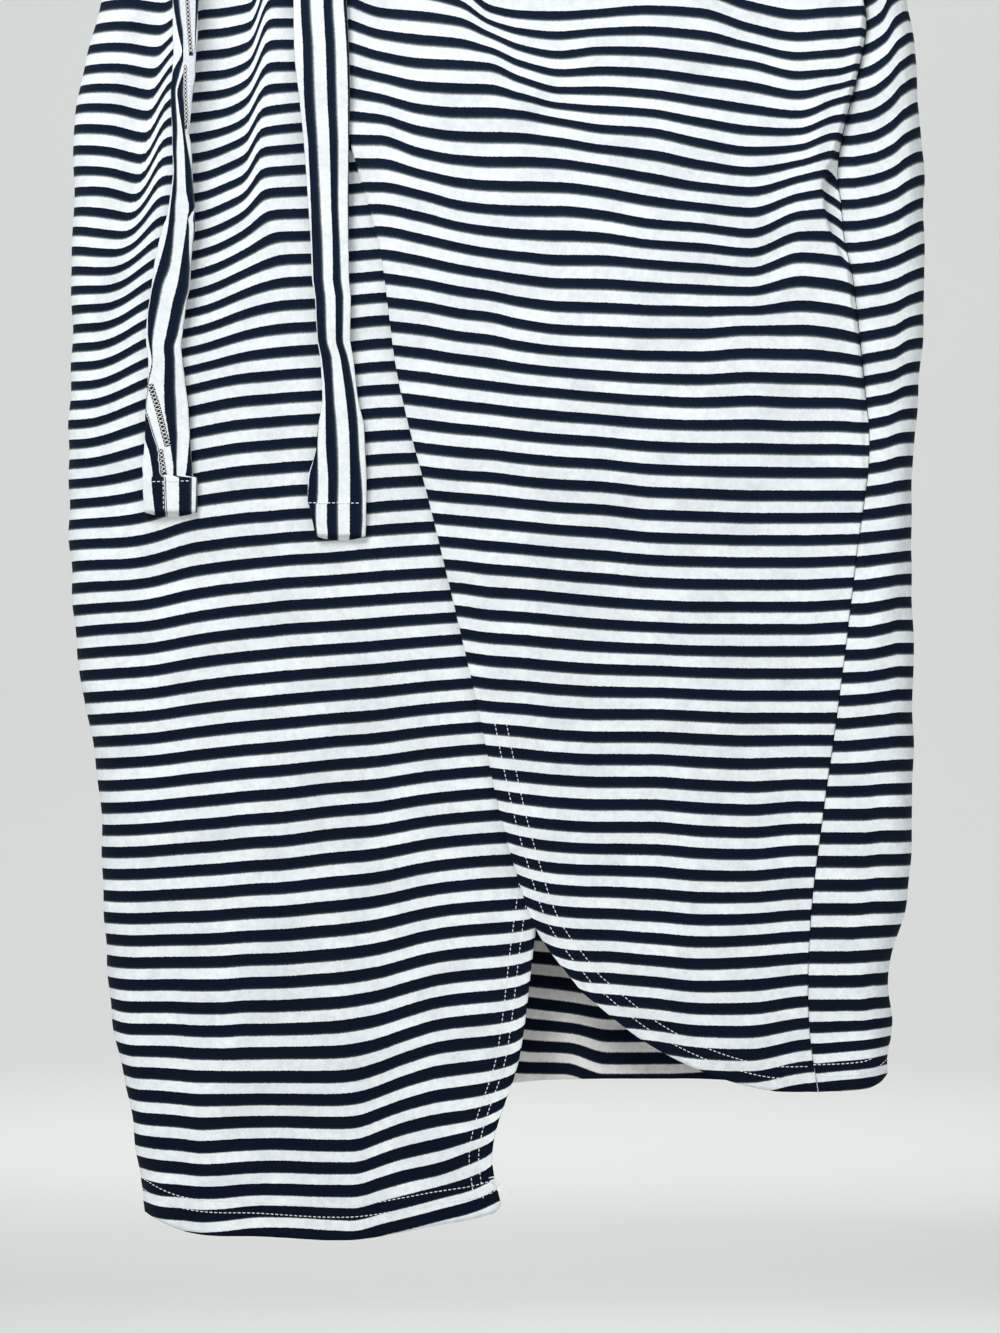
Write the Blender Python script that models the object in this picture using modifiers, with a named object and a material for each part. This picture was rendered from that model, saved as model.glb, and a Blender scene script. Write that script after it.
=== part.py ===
"""A striped jersey wrap dress with a halter neck and an uneven hem, hanging from a plain hanger.

The frame: the origin is where the hook hangs, +Z is up, the front faces -Y and +X is the viewer's right.
The garment is a flattened tube. A point of the cloth has an arc s along the tube's section, which starts
at the viewer's left fold and runs over the front, and a height z. Every panel is a patch between four
edges in (s, z), laid on that tube, so pieces share the tube's form and stay parallel where they overlap.
"""

import math

import bmesh
import bpy
import numpy as np

# Cloth
WALL = 0.0015  # jersey, with the air in its surface
SEAM = 0.0003  # what parts two pieces at a seam
LIFT = 0.0036  # how far the over panel stands off the under panel
LIFT_FADES = 0.05  # the way over which it comes down on the tube's own surface
LIFT_ENDS_X = 0.158  # where it is down, before the side seam
LIFT_FULL_Z = -0.220  # it starts at the strap and is full from here down

# Heights
STRAP_Z = -0.120  # top of the bodice, where the neck strap starts
UNDERARM_Z = -0.350
WAIST_Z = -0.520

# Rows down each panel's long edges, and columns across it
SKIRT_ROWS = 28
SIDE_ROWS = 8
ARMHOLE_ROWS = 10
OVER_COLUMNS = 20
UNDER_COLUMNS = 22
BACK_COLUMNS = 26
BODICE_OVER_COLUMNS = 13
BODICE_UNDER_COLUMNS = 17
BODICE_BACK_COLUMNS = 26
EDGE_POINTS = 40  # points of a curved edge before its columns are spaced
FOLD_REACH = 0.034  # columns stand closer within this distance of a side fold
FOLD_DENSITY = 2.5

# The tube: height, left fold x, right fold x, half of its depth (mm)
TUBE = (
    (-90, -110, 110, 8.1),
    (-120, -110, 110, 8.1),
    (-200, -150, 150, 10),
    (-350, -203, 203, 15),
    (-430, -198, 198, 18),
    (-520, -186, 187, 20),
    (-570, -196, 199, 20),
    (-630, -220, 225, 19),
    (-686, -234, 231.5, 19),
    (-740, -236, 234.5, 19),
    (-830, -237, 233, 19),
    (-880, -238.5, 228.5, 19),
    (-960, -236.5, 228, 18),
    (-1000, -232.5, 228.5, 18),
    (-1042, -224.5, 228.5, 18),
    (-1125, -219, 225, 17),
    (-1174, -216, 214.5, 17),
    (-1191, -214, 216.5, 17),
    (-1225, -208, 213.5, 16),
    (-1262, -201, 213, 16),
    (-1312, -194, 213, 16),
)

# Free edge of the over panel: x, z (mm). It goes from the waist down to the corner row, then round to the seam.
OVER_EDGE = (
    (-99, -520),
    (-84, -702),
    (-67, -763),
    (-55.5, -841),
    (-38, -910),
    (-14, -1011),
    (6, -1100),
    (21, -1143),
    (45.5, -1176),
)
OVER_HEM = (
    (45.5, -1176),
    (80, -1203),
    (119, -1222),
    (150, -1230),
    (175, -1230.5),
)
# Side seam at the viewer's right, which lies on the front: x, z (mm)
RIGHT_SEAM = (
    (164, -520),
    (173, -570),
    (200, -640),
    (195, -670),
    (185, -721),
    (189, -757),
    (200, -838),
    (203, -870),
    (196, -936),
    (185, -1025),
    (176, -1090),
    (171, -1134),
    (171, -1205),
    (175, -1230.5),
)
# Inner free edge of the under panel: x, z (mm)
UNDER_EDGE = (
    (100, -520),
    (70, -800),
    (34, -1045),
    (19.5, -1143),
    (11, -1210),
    (-4, -1272),
    (0.5, -1292),
)
# Hem of the under panel, from its inner corner to the left fold: x, z (mm)
UNDER_HEM = (
    (-195, -1298),
    (-174, -1307),
    (-130, -1310),
    (-77, -1311.5),
    (-35, -1304),
    (0.5, -1292),
)
# Hem of the back, seen from the front, from the right fold to the left seam: x, z (mm)
BACK_HEM = (
    (213, -1225),
    (100, -1226),
    (10, -1228),
    (-60, -1240),
    (-120, -1264),
    (-166, -1292),
)
LEFT_SEAM_TURN = 0.036  # the left side seam lies this far behind the left fold
RIGHT_SEAM_TURN = 0.034  # the bodice's right side seam lies this far before the right fold
LEFT_SEAM_END = -1.297

# Neckline of the over piece, and its armhole: x, z (mm). The under piece is its mirror image.
NECKLINE = ((-99, -520), (-60, -420), (0, -262), (34, -160), (46, -120))
ARMHOLE = ((178, -350), (166, -320), (134, -252), (96, -170), (74, -120))

# Folds: x and z at the upper end, x and z at the lower end, half width, rise (mm). A hollow rises below 0.
FRONT_FOLDS = (
    (-184, -560, -214, -860, 11, -3.5),
    (-166, -560, -196, -860, 12, 4.5),
    (-150, -545, -154, -790, 12, -2),
    (-124, -545, -130, -800, 15, 4),
    (-50, -585, 60, -690, 17, -3.5),
    (-20, -555, 110, -680, 18, 3),
    (60, -555, 172, -690, 18, -3),
    (-40, -655, 150, -732, 24, 2.5),
    (182, -600, 168, -770, 8, 2.5),
    (60, -900, 90, -1150, 45, -3),
    (-150, -1000, -140, -1290, 34, 3),
    (-70, -980, -60, -1290, 32, -3),
    (226, -870, 203, -1010, 7, 3),
)
BACK_FOLDS = (
    (-150, -550, -170, -860, 20, 4),
    (-90, -550, -96, -820, 22, -4),
    (-20, -545, -10, -880, 24, 4),
    (70, -550, 86, -850, 22, -4),
    (140, -550, 160, -820, 20, 4),
    (100, -900, 80, -1200, 40, 3),
    (-60, -900, -40, -1200, 40, -3),
)
BODICE_FOLDS = (
    (60, -200, 10, -470, 16, 2.5),
    (-60, -200, -10, -470, 16, 2.5),
    (110, -290, 90, -500, 20, -2.5),
    (-110, -290, -90, -500, 20, -2.5),
)

# Neck strap
STRAP_WIDTH = 0.028
STRAP_INNER = 0.0066  # inner radius of its turn over the hanger's arm
# Centre line of its unfolded half, from the middle of the neck: x, way past the top of the arm (mm)
STRAP_LINE = ((0, 62), (20, 59), (40, 46), (53, 28), (58, 12), (60, -8), (60, -30), (60, -45))
STRAP_COLUMNS = 5
STRAP_ROWS = 32

# Ties: z, x, width, thickness, gap to the cloth (mm)
TIE_LEFT = (
    (-520.3, -170, 24, 3.0, 0.3),
    (-560, -171, 18, 4.5, 2),
    (-630, -172, 14, 5.0, 5),
    (-685, -174, 11, 5.5, 5),
    (-740, -176, 17, 5.0, 3),
    (-795, -181, 23, 4.5, 2),
    (-830, -183, 23, 4.5, 2),
    (-883, -183, 26, 4.0, 1.5),
    (-914, -181, 28, 3.0, 1.2),
)
TIE_RIGHT = (
    (-520.3, -96, 24, 3.0, 4.0),
    (-560, -98, 28, 2.6, 5),
    (-630, -98, 28, 2.6, 5),
    (-740, -93, 27, 2.6, 5),
    (-850, -88, 26, 2.6, 4),
    (-905, -89, 31, 2.8, 1.2),
    (-926, -90, 31, 3.0, 1.2),
)
TIE_ROWS = 22
TIE_SIDES = 10
TIE_BOXY = 0.6  # 1 makes its section an ellipse, less squares it off
TIE_FEELERS = 7  # points across the tie where it must clear the cloth

# Hanger
ARM_REACH = 0.215  # from the middle to the tip
ARM_DROP = 0.040
ARM_TOP = -0.078  # height of its top in the middle
ARM_RADIUS = 0.006
ARM_POINTS = 31
WIRE = 0.0018  # radius of the hook's wire
HOOK_CENTRE = -0.020
HOOK_RADIUS = WIRE - HOOK_CENTRE  # so that the inside of its top is the origin
HOOK_FROM, HOOK_TO = -60, 200  # degrees round the hook, from the stem to its tip
HOOK_STEM = ((0, -77.7), (0, -68), (0, -58), (2.8, -47))  # x, z (mm)
HOOK_POINTS = 44

COLOURS = {
    "jersey": ((0.45, 0.47, 0.52), 0.9, 0.0),
    "tie_jersey": ((0.50, 0.52, 0.57), 0.9, 0.0),
    "hanger_plastic": ((0.80, 0.79, 0.76), 0.4, 0.0),
    "wire": ((0.62, 0.62, 0.62), 0.3, 1.0),
}


def clear_scene():
    for obj in list(bpy.data.objects):
        bpy.data.objects.remove(obj, do_unlink=True)


def material(name):
    colour, roughness, metallic = COLOURS[name]
    found = bpy.data.materials.get(name) or bpy.data.materials.new(name)
    found.use_nodes = True
    shader = found.node_tree.nodes["Principled BSDF"]
    shader.inputs["Base Color"].default_value = (*colour, 1)
    shader.inputs["Roughness"].default_value = roughness
    shader.inputs["Metallic"].default_value = metallic
    return found


def curve_through(rows, at):
    """The later columns of a table, on a smooth curve through its rows, where its first column is at."""
    table = np.array(rows, float)
    table = table[np.argsort(table[:, 0])]
    keys, values = table[:, 0], table[:, 1:]
    slopes = np.gradient(values, keys, axis=0)
    at = np.clip(np.asarray(at, float), keys[0], keys[-1])
    row = np.clip(np.searchsorted(keys, at) - 1, 0, len(keys) - 2)
    step = (keys[row + 1] - keys[row])[..., None]
    u = (at - keys[row])[..., None] / step
    return (
        values[row] * (1 + 2 * u) * (1 - u) ** 2
        + slopes[row] * step * u * (1 - u) ** 2
        + values[row + 1] * u**2 * (3 - 2 * u)
        - slopes[row + 1] * step * u**2 * (1 - u)
    )


def evenly(points, count):
    """count points, evenly spaced along a run of points."""
    reach = np.r_[0, np.cumsum(np.linalg.norm(np.diff(points, axis=0), axis=1))]
    even = np.linspace(0, reach[-1], count)
    return np.stack([np.interp(even, reach, column) for column in points.T], 1)


def path_through(rows, count):
    """count points, in metres, evenly spaced along a smooth curve through the rows of a table in mm."""
    rows = np.array(rows, float) / 1000
    reach = np.r_[0, np.cumsum(np.linalg.norm(np.diff(rows, axis=0), axis=1))]
    return evenly(curve_through(np.c_[reach, rows], np.linspace(0, reach[-1], 400)), count)


def tube(z):
    """Left fold x, right fold x and half depth of the tube at a height."""
    found = curve_through(TUBE, np.asarray(z) * 1000) / 1000
    return found[..., 0], found[..., 1], found[..., 2]


def front_length(z):
    left, right, depth = tube(z)
    return math.pi * depth + right - left - 2 * depth


def arc_of(x, z):
    """The arc s of the front's point with this x."""
    left, right, depth = tube(z)
    near = np.arccos(1 - np.clip((x - left) / depth, 0, 1)) * depth
    middle = np.clip(x - left - depth, 0, right - left - 2 * depth)
    far = np.arcsin(np.clip((x - right + depth) / depth, 0, 1)) * depth
    return near + middle + far


def back_arc_of(x, z):
    """The arc s of the back's point with this x, past the right fold."""
    return 2 * front_length(z) - arc_of(x, z)


def smooth_step(value, start, end):
    u = np.clip((value - start) / (end - start), 0, 1)
    return u * u * (3 - 2 * u)


def fold_relief(x, z, folds):
    """How far the folds move the cloth out: soft ridges and hollows that fade at both ends."""
    total = np.zeros(np.shape(x))
    for x0, z0, x1, z1, half_width, rise in np.array(folds) / 1000:
        run = np.array((x1 - x0, z1 - z0))
        length = np.linalg.norm(run)
        along = ((x - x0) * run[0] + (z - z0) * run[1]) / length**2
        across = ((x - x0) * run[1] - (z - z0) * run[0]) / length
        fade = smooth_step(along, -0.15, 0.25) * (1 - smooth_step(along, 0.65, 1.15))
        total += rise * fade * np.exp(-((across / half_width) ** 2))
    return total


def on_tube(s, z, out=0.0):
    """World points of the tube at arcs s and heights z, moved out along its normal."""
    s, z = np.broadcast_arrays(np.asarray(s, float), np.asarray(z, float))
    left, right, depth = tube(z)
    front = front_length(z)
    behind = (s < 0) | (s > front)
    turned = np.where(s < 0, -s, np.where(s > front, 2 * front - s, s))
    near = np.clip(turned / depth, 0, math.pi / 2)
    middle = np.clip(turned - near * depth, 0, right - left - 2 * depth)
    far = np.clip((turned - near * depth - middle) / depth, 0, math.pi / 2)
    normal_x = np.sin(far) - np.cos(near)
    normal_y = 1 - np.sin(near) - np.cos(far)
    x = left + depth * (1 - np.cos(near)) + middle + depth * np.sin(far)
    y = depth * normal_y
    side = np.where(behind, -1, 1)
    relief = np.where(
        behind,
        fold_relief(x, z, BACK_FOLDS),
        fold_relief(x, z, FRONT_FOLDS) + fold_relief(x, z, BODICE_FOLDS),
    )
    out = out + relief * np.clip(np.abs(normal_y), 0, 1) ** 2
    return np.stack([x + out * normal_x, side * (y + out * normal_y), z], -1)


def over_lift(s, z):
    """The over pieces stand off the under ones, and meet the back at the tube's own surface."""
    to_end = arc_of(LIFT_ENDS_X, z) - s
    return LIFT * smooth_step(to_end, 0, LIFT_FADES) * smooth_step(-z, -STRAP_Z, -LIFT_FULL_Z)


def patch(left, right, top, bottom):
    """Points of a patch between four edges in (s, z): left and right run down, top and bottom run across."""
    v = np.linspace(0, 1, len(left))[:, None, None]
    u = np.linspace(0, 1, len(top))[None, :, None]
    corners = (
        (1 - u) * (1 - v) * top[0] + u * (1 - v) * top[-1] + (1 - u) * v * bottom[0] + u * v * bottom[-1]
    )
    return (1 - u) * left[:, None] + u * right[:, None] + (1 - v) * top + v * bottom - corners


def edge_on_front(rows, count):
    """An edge given by x and z, as arcs and heights."""
    points = path_through(rows, count)
    return np.stack([arc_of(*points.T), points[:, 1]], 1)


def skirt_left_seam():
    """The skirt's left side seam, behind the left fold."""
    z = np.linspace(WAIST_Z, LEFT_SEAM_END, SKIRT_ROWS)
    return np.stack([np.full(SKIRT_ROWS, -LEFT_SEAM_TURN), z], 1)


def around(edge):
    """The same edge, reached the other way round the tube, as the back's far edge."""
    return edge + np.stack([2 * front_length(edge[:, 1]), np.zeros(len(edge))], 1)


def grid_mesh(name, points):
    """An open surface through a grid of points, rows running down and columns across."""
    rows, columns = points.shape[:2]
    mesh = bpy.data.meshes.new(name)
    bm = bmesh.new()
    verts = [bm.verts.new(p) for p in points.reshape(-1, 3)]
    for i in range(rows - 1):
        for j in range(columns - 1):
            a = i * columns + j
            bm.faces.new((verts[a], verts[a + columns], verts[a + columns + 1], verts[a + 1]))
    bm.to_mesh(mesh)
    bm.free()
    mesh.shade_smooth()
    return mesh


def cloth(name, points, finish, parts):
    """A panel: its outer face through the points, and its wall laid inward."""
    obj = bpy.data.objects.new(name, grid_mesh(name, points))
    obj.data.materials.append(material(finish))
    wall = obj.modifiers.new("wall", "SOLIDIFY")
    wall.thickness = WALL
    wall.offset = -1
    wall.use_even_offset = True
    parts.objects.link(obj)
    return obj


def ring_loft(name, rings, finish, parts):
    """A closed solid through rings of points, with flat ends."""
    mesh = bpy.data.meshes.new(name)
    bm = bmesh.new()
    loops = [[bm.verts.new(p) for p in ring] for ring in rings]
    sides = len(loops[0])
    for upper, lower in zip(loops, loops[1:]):
        for i in range(sides):
            j = (i + 1) % sides
            bm.faces.new((upper[i], lower[i], lower[j], upper[j]))
    bm.faces.new(loops[0])
    bm.faces.new(list(reversed(loops[-1])))
    bmesh.ops.recalc_face_normals(bm, faces=bm.faces)
    bm.to_mesh(mesh)
    bm.free()
    mesh.shade_smooth()
    obj = bpy.data.objects.new(name, mesh)
    mesh.materials.append(material(finish))
    parts.objects.link(obj)
    return obj


def columns(edge, count):
    """count points along an edge in (s, z), closer together where it turns round a side fold."""
    fine = np.stack([np.interp(np.linspace(0, len(edge) - 1, 400), np.arange(len(edge)), c) for c in edge.T], 1)
    front = front_length(fine[:, 1])
    to_fold = np.min([np.abs(fine[:, 0] - k * front) for k in (0, 1, 2)], axis=0)
    steps = np.linalg.norm(np.diff(fine, axis=0), axis=1)
    weight = 1 + FOLD_DENSITY * np.exp(-((to_fold / FOLD_REACH) ** 4))
    reach = np.r_[0, np.cumsum(steps * (weight[1:] + weight[:-1]) / 2)]
    even = np.linspace(0, reach[-1], count)
    return np.stack([np.interp(even, reach, column) for column in fine.T], 1)


def panel(left, right, count, bottom=None):
    """Arcs and heights of a panel between two edges, with a straight top, and a straight foot unless given."""
    top = np.array((left[0], right[0]))
    bottom = np.array((left[-1], right[-1])) if bottom is None else bottom
    area = patch(left, right, columns(top, count), columns(bottom, count))
    return area[..., 0], area[..., 1]


def skirt(parts):
    gap = (SEAM / 2, 0)
    right_seam = edge_on_front(RIGHT_SEAM, SKIRT_ROWS)
    left_seam = skirt_left_seam()

    free, seam = edge_on_front(OVER_EDGE, SKIRT_ROWS), right_seam - gap
    hem = edge_on_front(OVER_HEM, EDGE_POINTS)
    hem[-1] = seam[-1]
    s, z = panel(free, seam, OVER_COLUMNS, hem)
    cloth("skirt_front_over", on_tube(s, z, over_lift(s, z)), "jersey", parts)

    seam, free = left_seam + gap, edge_on_front(UNDER_EDGE, SKIRT_ROWS)
    hem = np.vstack([seam[-1:], edge_on_front(UNDER_HEM, EDGE_POINTS)])
    s, z = panel(seam, free, UNDER_COLUMNS, hem)
    cloth("skirt_front_under", on_tube(s, z), "jersey", parts)

    start, end = right_seam + gap, around(left_seam - gap)
    behind = path_through(BACK_HEM, EDGE_POINTS)
    behind = np.stack([back_arc_of(*behind.T), behind[:, 1]], 1)
    s, z = panel(start, end, BACK_COLUMNS, np.vstack([start[-1:], behind, end[-1:]]))
    cloth("skirt_back", on_tube(s, z), "jersey", parts)


def side_seams():
    """The bodice's side seams, from the underarms down to the waist."""
    z = np.linspace(UNDERARM_Z, WAIST_Z + SEAM, SIDE_ROWS)
    left = np.stack([np.full(SIDE_ROWS, -LEFT_SEAM_TURN), z], 1)
    right = np.stack([front_length(z) - RIGHT_SEAM_TURN, z], 1)
    return left, right


def outer_edge(armhole, side):
    """A front piece's outer edge: round the armhole to the underarm, then down the side seam."""
    curve = np.vstack([edge_on_front(armhole, EDGE_POINTS)[:-1], side[:1]])
    return np.vstack([evenly(curve, ARMHOLE_ROWS)[:-1], side])


def bodice(parts):
    gap = (SEAM / 2, 0)
    flip = (-1, 1)
    left_side, right_side = side_seams()
    neckline = np.array(NECKLINE[::-1], float)
    armhole = np.array(ARMHOLE[::-1], float)

    outer = outer_edge(armhole, right_side - gap)
    inner = edge_on_front(neckline, len(outer))
    inner[-1, 1] = WAIST_Z + SEAM
    s, z = panel(inner, outer, BODICE_OVER_COLUMNS)
    cloth("bodice_front_over", on_tube(s, z, over_lift(s, z)), "jersey", parts)

    outer = outer_edge(armhole * flip, left_side + gap)
    inner = edge_on_front(neckline * flip, len(outer))
    inner[-1, 1] = WAIST_Z + SEAM
    cloth("bodice_front_under", on_tube(*panel(outer, inner, BODICE_UNDER_COLUMNS)), "jersey", parts)

    start, end = right_side + gap, around(left_side - gap)
    cloth("bodice_back", on_tube(*panel(start, end, BODICE_BACK_COLUMNS)), "jersey", parts)


def arm_top(x):
    return ARM_TOP - ARM_DROP * (x / ARM_REACH) ** 2


def strap_point(x, way):
    """The strap's outer face, where it is x across and this way past the top of the arm."""
    radius = STRAP_INNER + WALL
    turn = math.pi / 2 * radius
    angle = np.clip(way / radius, -math.pi / 2, math.pi / 2)
    hang = np.clip(np.abs(way) - turn, 0, None)
    z = arm_top(x) - ARM_RADIUS + radius * np.cos(angle) - hang
    return np.stack([x, radius * np.sin(angle), z], -1)


def neck_strap(parts):
    half = path_through(STRAP_LINE, STRAP_ROWS)
    line = np.vstack([half[::-1] * (-1, 1), half[1:]])
    run = np.gradient(line, axis=0)
    run /= np.linalg.norm(run, axis=1)[:, None]
    side = np.stack([-run[:, 1], run[:, 0]], 1)
    across_band = np.linspace(-0.5, 0.5, STRAP_COLUMNS)[None, :, None] * STRAP_WIDTH
    flat = line[:, None] + side[:, None] * across_band
    points = strap_point(flat[..., 0], flat[..., 1])
    for end in (0, -1):
        points[end, :, 2] = STRAP_Z + SEAM
    cloth("neck_strap", points, "jersey", parts)


def tie(name, rows, parts):
    """A flat tube of jersey, hanging from the waist just clear of the cloth."""
    z = np.linspace(rows[0][0], rows[-1][0], TIE_ROWS)
    x, width, thick, gap = curve_through(rows, z).T / 1000
    z = z / 1000
    reach = x[:, None] + width[:, None] * np.linspace(-0.5, 0.5, TIE_FEELERS)
    tall = np.broadcast_to(z[:, None], reach.shape)
    cloth_y = on_tube(arc_of(reach, tall), tall)[..., 1].min(1)
    y = cloth_y - gap - thick / 2
    angle = np.arange(TIE_SIDES) / TIE_SIDES * math.tau + math.pi / TIE_SIDES
    round_x = np.sign(np.cos(angle)) * np.abs(np.cos(angle)) ** TIE_BOXY
    round_y = np.sign(np.sin(angle)) * np.abs(np.sin(angle)) ** TIE_BOXY
    round_x, round_y = round_x / round_x.max(), round_y / round_y.max()
    rings = np.stack(
        [
            x[:, None] + width[:, None] / 2 * round_x,
            y[:, None] + thick[:, None] / 2 * round_y,
            np.broadcast_to(z[:, None], (TIE_ROWS, TIE_SIDES)),
        ],
        -1,
    )
    ring_loft(name, rings, "tie_jersey", parts)


def rod(name, points, radius, resolution, finish, parts):
    curve = bpy.data.curves.new(name, "CURVE")
    curve.dimensions = "3D"
    curve.bevel_depth = radius
    curve.bevel_resolution = resolution
    curve.use_fill_caps = True
    spline = curve.splines.new("POLY")
    spline.points.add(len(points) - 1)
    for point, place in zip(spline.points, points):
        point.co = (*place, 1)
    obj = bpy.data.objects.new(name, curve)
    curve.materials.append(material(finish))
    parts.objects.link(obj)


def hanger(parts):
    x = np.linspace(-ARM_REACH, ARM_REACH, ARM_POINTS)
    rod("hanger_arms", np.stack([x, 0 * x, arm_top(x) - ARM_RADIUS], 1), ARM_RADIUS, 4, "hanger_plastic", parts)

    angle = np.radians(np.linspace(HOOK_FROM, HOOK_TO, HOOK_POINTS))
    loop = np.stack([HOOK_RADIUS * np.cos(angle), HOOK_CENTRE + HOOK_RADIUS * np.sin(angle)], 1)
    points = path_through(np.vstack([HOOK_STEM, loop * 1000]), HOOK_POINTS)
    rod("hanger_hook", np.stack([points[:, 0], 0 * points[:, 0], points[:, 1]], 1), WIRE, 2, "wire", parts)


def build():
    clear_scene()
    parts = bpy.data.collections.new("halter_midi_dress")
    bpy.context.scene.collection.children.link(parts)
    skirt(parts)
    bodice(parts)
    neck_strap(parts)
    tie("tie_left", TIE_LEFT, parts)
    tie("tie_right", TIE_RIGHT, parts)
    hanger(parts)


build()
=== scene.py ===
"""The striped halter dress on its hanger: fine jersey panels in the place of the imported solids.

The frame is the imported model's: metres, +Z up, the front faces -Y, +X is the viewer's right, the origin is
where the hook hangs. A point of the cloth has an arc s round the flattened tube, from the viewer's left
fold over the front, and a height z. Tables are in mm unless they say otherwise.
"""

import math

import bpy
import numpy as np
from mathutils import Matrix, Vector

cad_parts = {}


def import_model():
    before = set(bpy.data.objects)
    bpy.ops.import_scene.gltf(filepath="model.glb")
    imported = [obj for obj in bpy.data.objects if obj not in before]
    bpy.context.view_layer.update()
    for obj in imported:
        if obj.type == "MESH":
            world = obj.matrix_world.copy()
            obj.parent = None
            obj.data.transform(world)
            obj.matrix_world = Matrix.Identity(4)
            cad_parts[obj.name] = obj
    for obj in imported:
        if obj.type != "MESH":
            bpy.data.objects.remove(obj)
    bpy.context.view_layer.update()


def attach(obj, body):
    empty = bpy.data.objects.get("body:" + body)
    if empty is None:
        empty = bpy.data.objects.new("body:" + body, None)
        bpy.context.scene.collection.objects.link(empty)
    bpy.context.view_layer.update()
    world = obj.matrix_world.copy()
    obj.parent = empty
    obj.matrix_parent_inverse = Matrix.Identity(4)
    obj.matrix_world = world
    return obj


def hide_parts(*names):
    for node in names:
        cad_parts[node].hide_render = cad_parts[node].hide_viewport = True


# The solids' own sizes, as the part's source has them
WALL = 0.0015
SEAM = 0.0003
LIFT = 0.0036
LIFT_FADES = 0.05
LIFT_ENDS_X = 0.158
LIFT_FULL_Z = -0.220
STRAP_Z = -0.120
UNDERARM_Z = -0.350
WAIST_Z = -0.520
FOLD_REACH = 0.034
FOLD_DENSITY = 1.2
EDGE_POINTS = 60
LEFT_SEAM_TURN = 0.036
RIGHT_SEAM_TURN = 0.034
LEFT_SEAM_END = -1.297
STRAP_WIDTH = 0.028
STRAP_INNER = 0.0066
ARM_REACH = 0.215
ARM_DROP = 0.040
ARM_TOP = -0.078
ARM_RADIUS = 0.006
WIRE = 0.0018
HOOK_CENTRE = -0.020
HOOK_RADIUS = WIRE - HOOK_CENTRE
HOOK_FROM, HOOK_TO = -60, 200
HOOK_STEM = ((0, -77.7), (0, -68), (0, -58), (2.8, -47))

# The tube: height, left fold x, right fold x, half of its depth
TUBE = (
    (-90, -110, 110, 8.1),
    (-120, -110, 110, 8.1),
    (-200, -150, 150, 10),
    (-350, -203, 203, 15),
    (-430, -198, 198, 18),
    (-520, -186, 187, 20),
    (-570, -196, 199, 20),
    (-630, -220, 225, 19),
    (-686, -234, 231.5, 19),
    (-740, -236, 234.5, 19),
    (-830, -237, 233, 19),
    (-880, -238.5, 228.5, 19),
    (-960, -236.5, 228, 18),
    (-1000, -232.5, 228.5, 18),
    (-1042, -224.5, 228.5, 18),
    (-1125, -219, 225, 17),
    (-1174, -216, 214.5, 17),
    (-1191, -214, 216.5, 17),
    (-1225, -208, 213.5, 16),
    (-1262, -201, 213, 16),
    (-1312, -194, 213, 16),
)
# Edges and seams on the front: x, z
OVER_EDGE = (
    (-99, -520),
    (-84, -702),
    (-67, -763),
    (-55.5, -841),
    (-38, -910),
    (-14, -1011),
    (6, -1100),
    (21, -1143),
    (45.5, -1176),
)
OVER_HEM = ((45.5, -1176), (80, -1203), (119, -1222), (150, -1230), (175, -1230.5))
RIGHT_SEAM = (
    (164, -520),
    (173, -570),
    (193, -610),
    (201.5, -640),
    (197, -670),
    (191.5, -692),
    (187, -712),
    (185.6, -727),
    (187.8, -743),
    (188.6, -756),
    (190.6, -767.5),
    (193.2, -778),
    (195.5, -795),
    (200, -838),
    (203, -870),
    (196, -936),
    (185, -1025),
    (176, -1090),
    (171, -1134),
    (171, -1205),
    (175, -1230.5),
)
UNDER_EDGE = (
    (100, -520),
    (70, -800),
    (34, -1045),
    (19.5, -1143),
    (11, -1210),
    (-4, -1272),
    (0.5, -1292),
)
UNDER_HEM = (
    (-195, -1298),
    (-174, -1307),
    (-130, -1310),
    (-77, -1311.5),
    (-35, -1304),
    (-7, -1298.4),
    (-1.5, -1296.4),
    (0.5, -1292),
)
CORNER_HEM = ((175, -1230.5), (196, -1229.5), (204, -1228.3), (209.5, -1225.5))
BACK_HEM = (
    (213.4, -1219),
    (209, -1223.5),
    (200, -1225.5),
    (100, -1226),
    (10, -1228),
    (-60, -1240),
    (-120, -1264),
    (-166, -1292),
)
NECKLINE = ((-99, -520), (-60, -420), (0, -262), (34, -160), (46, -120))
ARMHOLE = ((178, -350), (166, -320), (134, -252), (96, -170), (74, -120))
STRAP_LINE = ((0, 62), (20, 59), (40, 46), (53, 28), (58, 12), (60, -8), (60, -30), (60, -45))

# Folds: x and z at the upper end, x and z at the lower end, half width, rise
FRONT_FOLDS = (
    (-184, -560, -214, -860, 11, -3.5),
    (-166, -560, -196, -860, 12, 4.5),
    (-150, -545, -154, -790, 12, -2),
    (-124, -545, -130, -800, 15, 4),
    (-50, -585, 60, -690, 17, -3.5),
    (-20, -555, 110, -680, 18, 3),
    (60, -555, 172, -690, 18, -3),
    (-40, -655, 150, -732, 24, 2.5),
    (182, -600, 168, -770, 8, 2.5),
    (60, -900, 90, -1150, 45, -3),
    (-150, -1000, -140, -1290, 34, 3),
    (-70, -980, -60, -1290, 32, -3),
    (226, -870, 203, -1010, 7, 3),
)
BACK_FOLDS = (
    (-150, -550, -170, -860, 20, 4),
    (-90, -550, -96, -820, 22, -4),
    (-20, -545, -10, -880, 24, 4),
    (70, -550, 86, -850, 22, -4),
    (140, -550, 160, -820, 20, 4),
    (100, -900, 80, -1200, 40, 3),
    (-60, -900, -40, -1200, 40, -3),
)
BODICE_FOLDS = (
    (60, -200, 10, -470, 16, 2.5),
    (-60, -200, -10, -470, 16, 2.5),
    (110, -290, 90, -500, 20, -2.5),
    (-110, -290, -90, -500, 20, -2.5),
)

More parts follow.
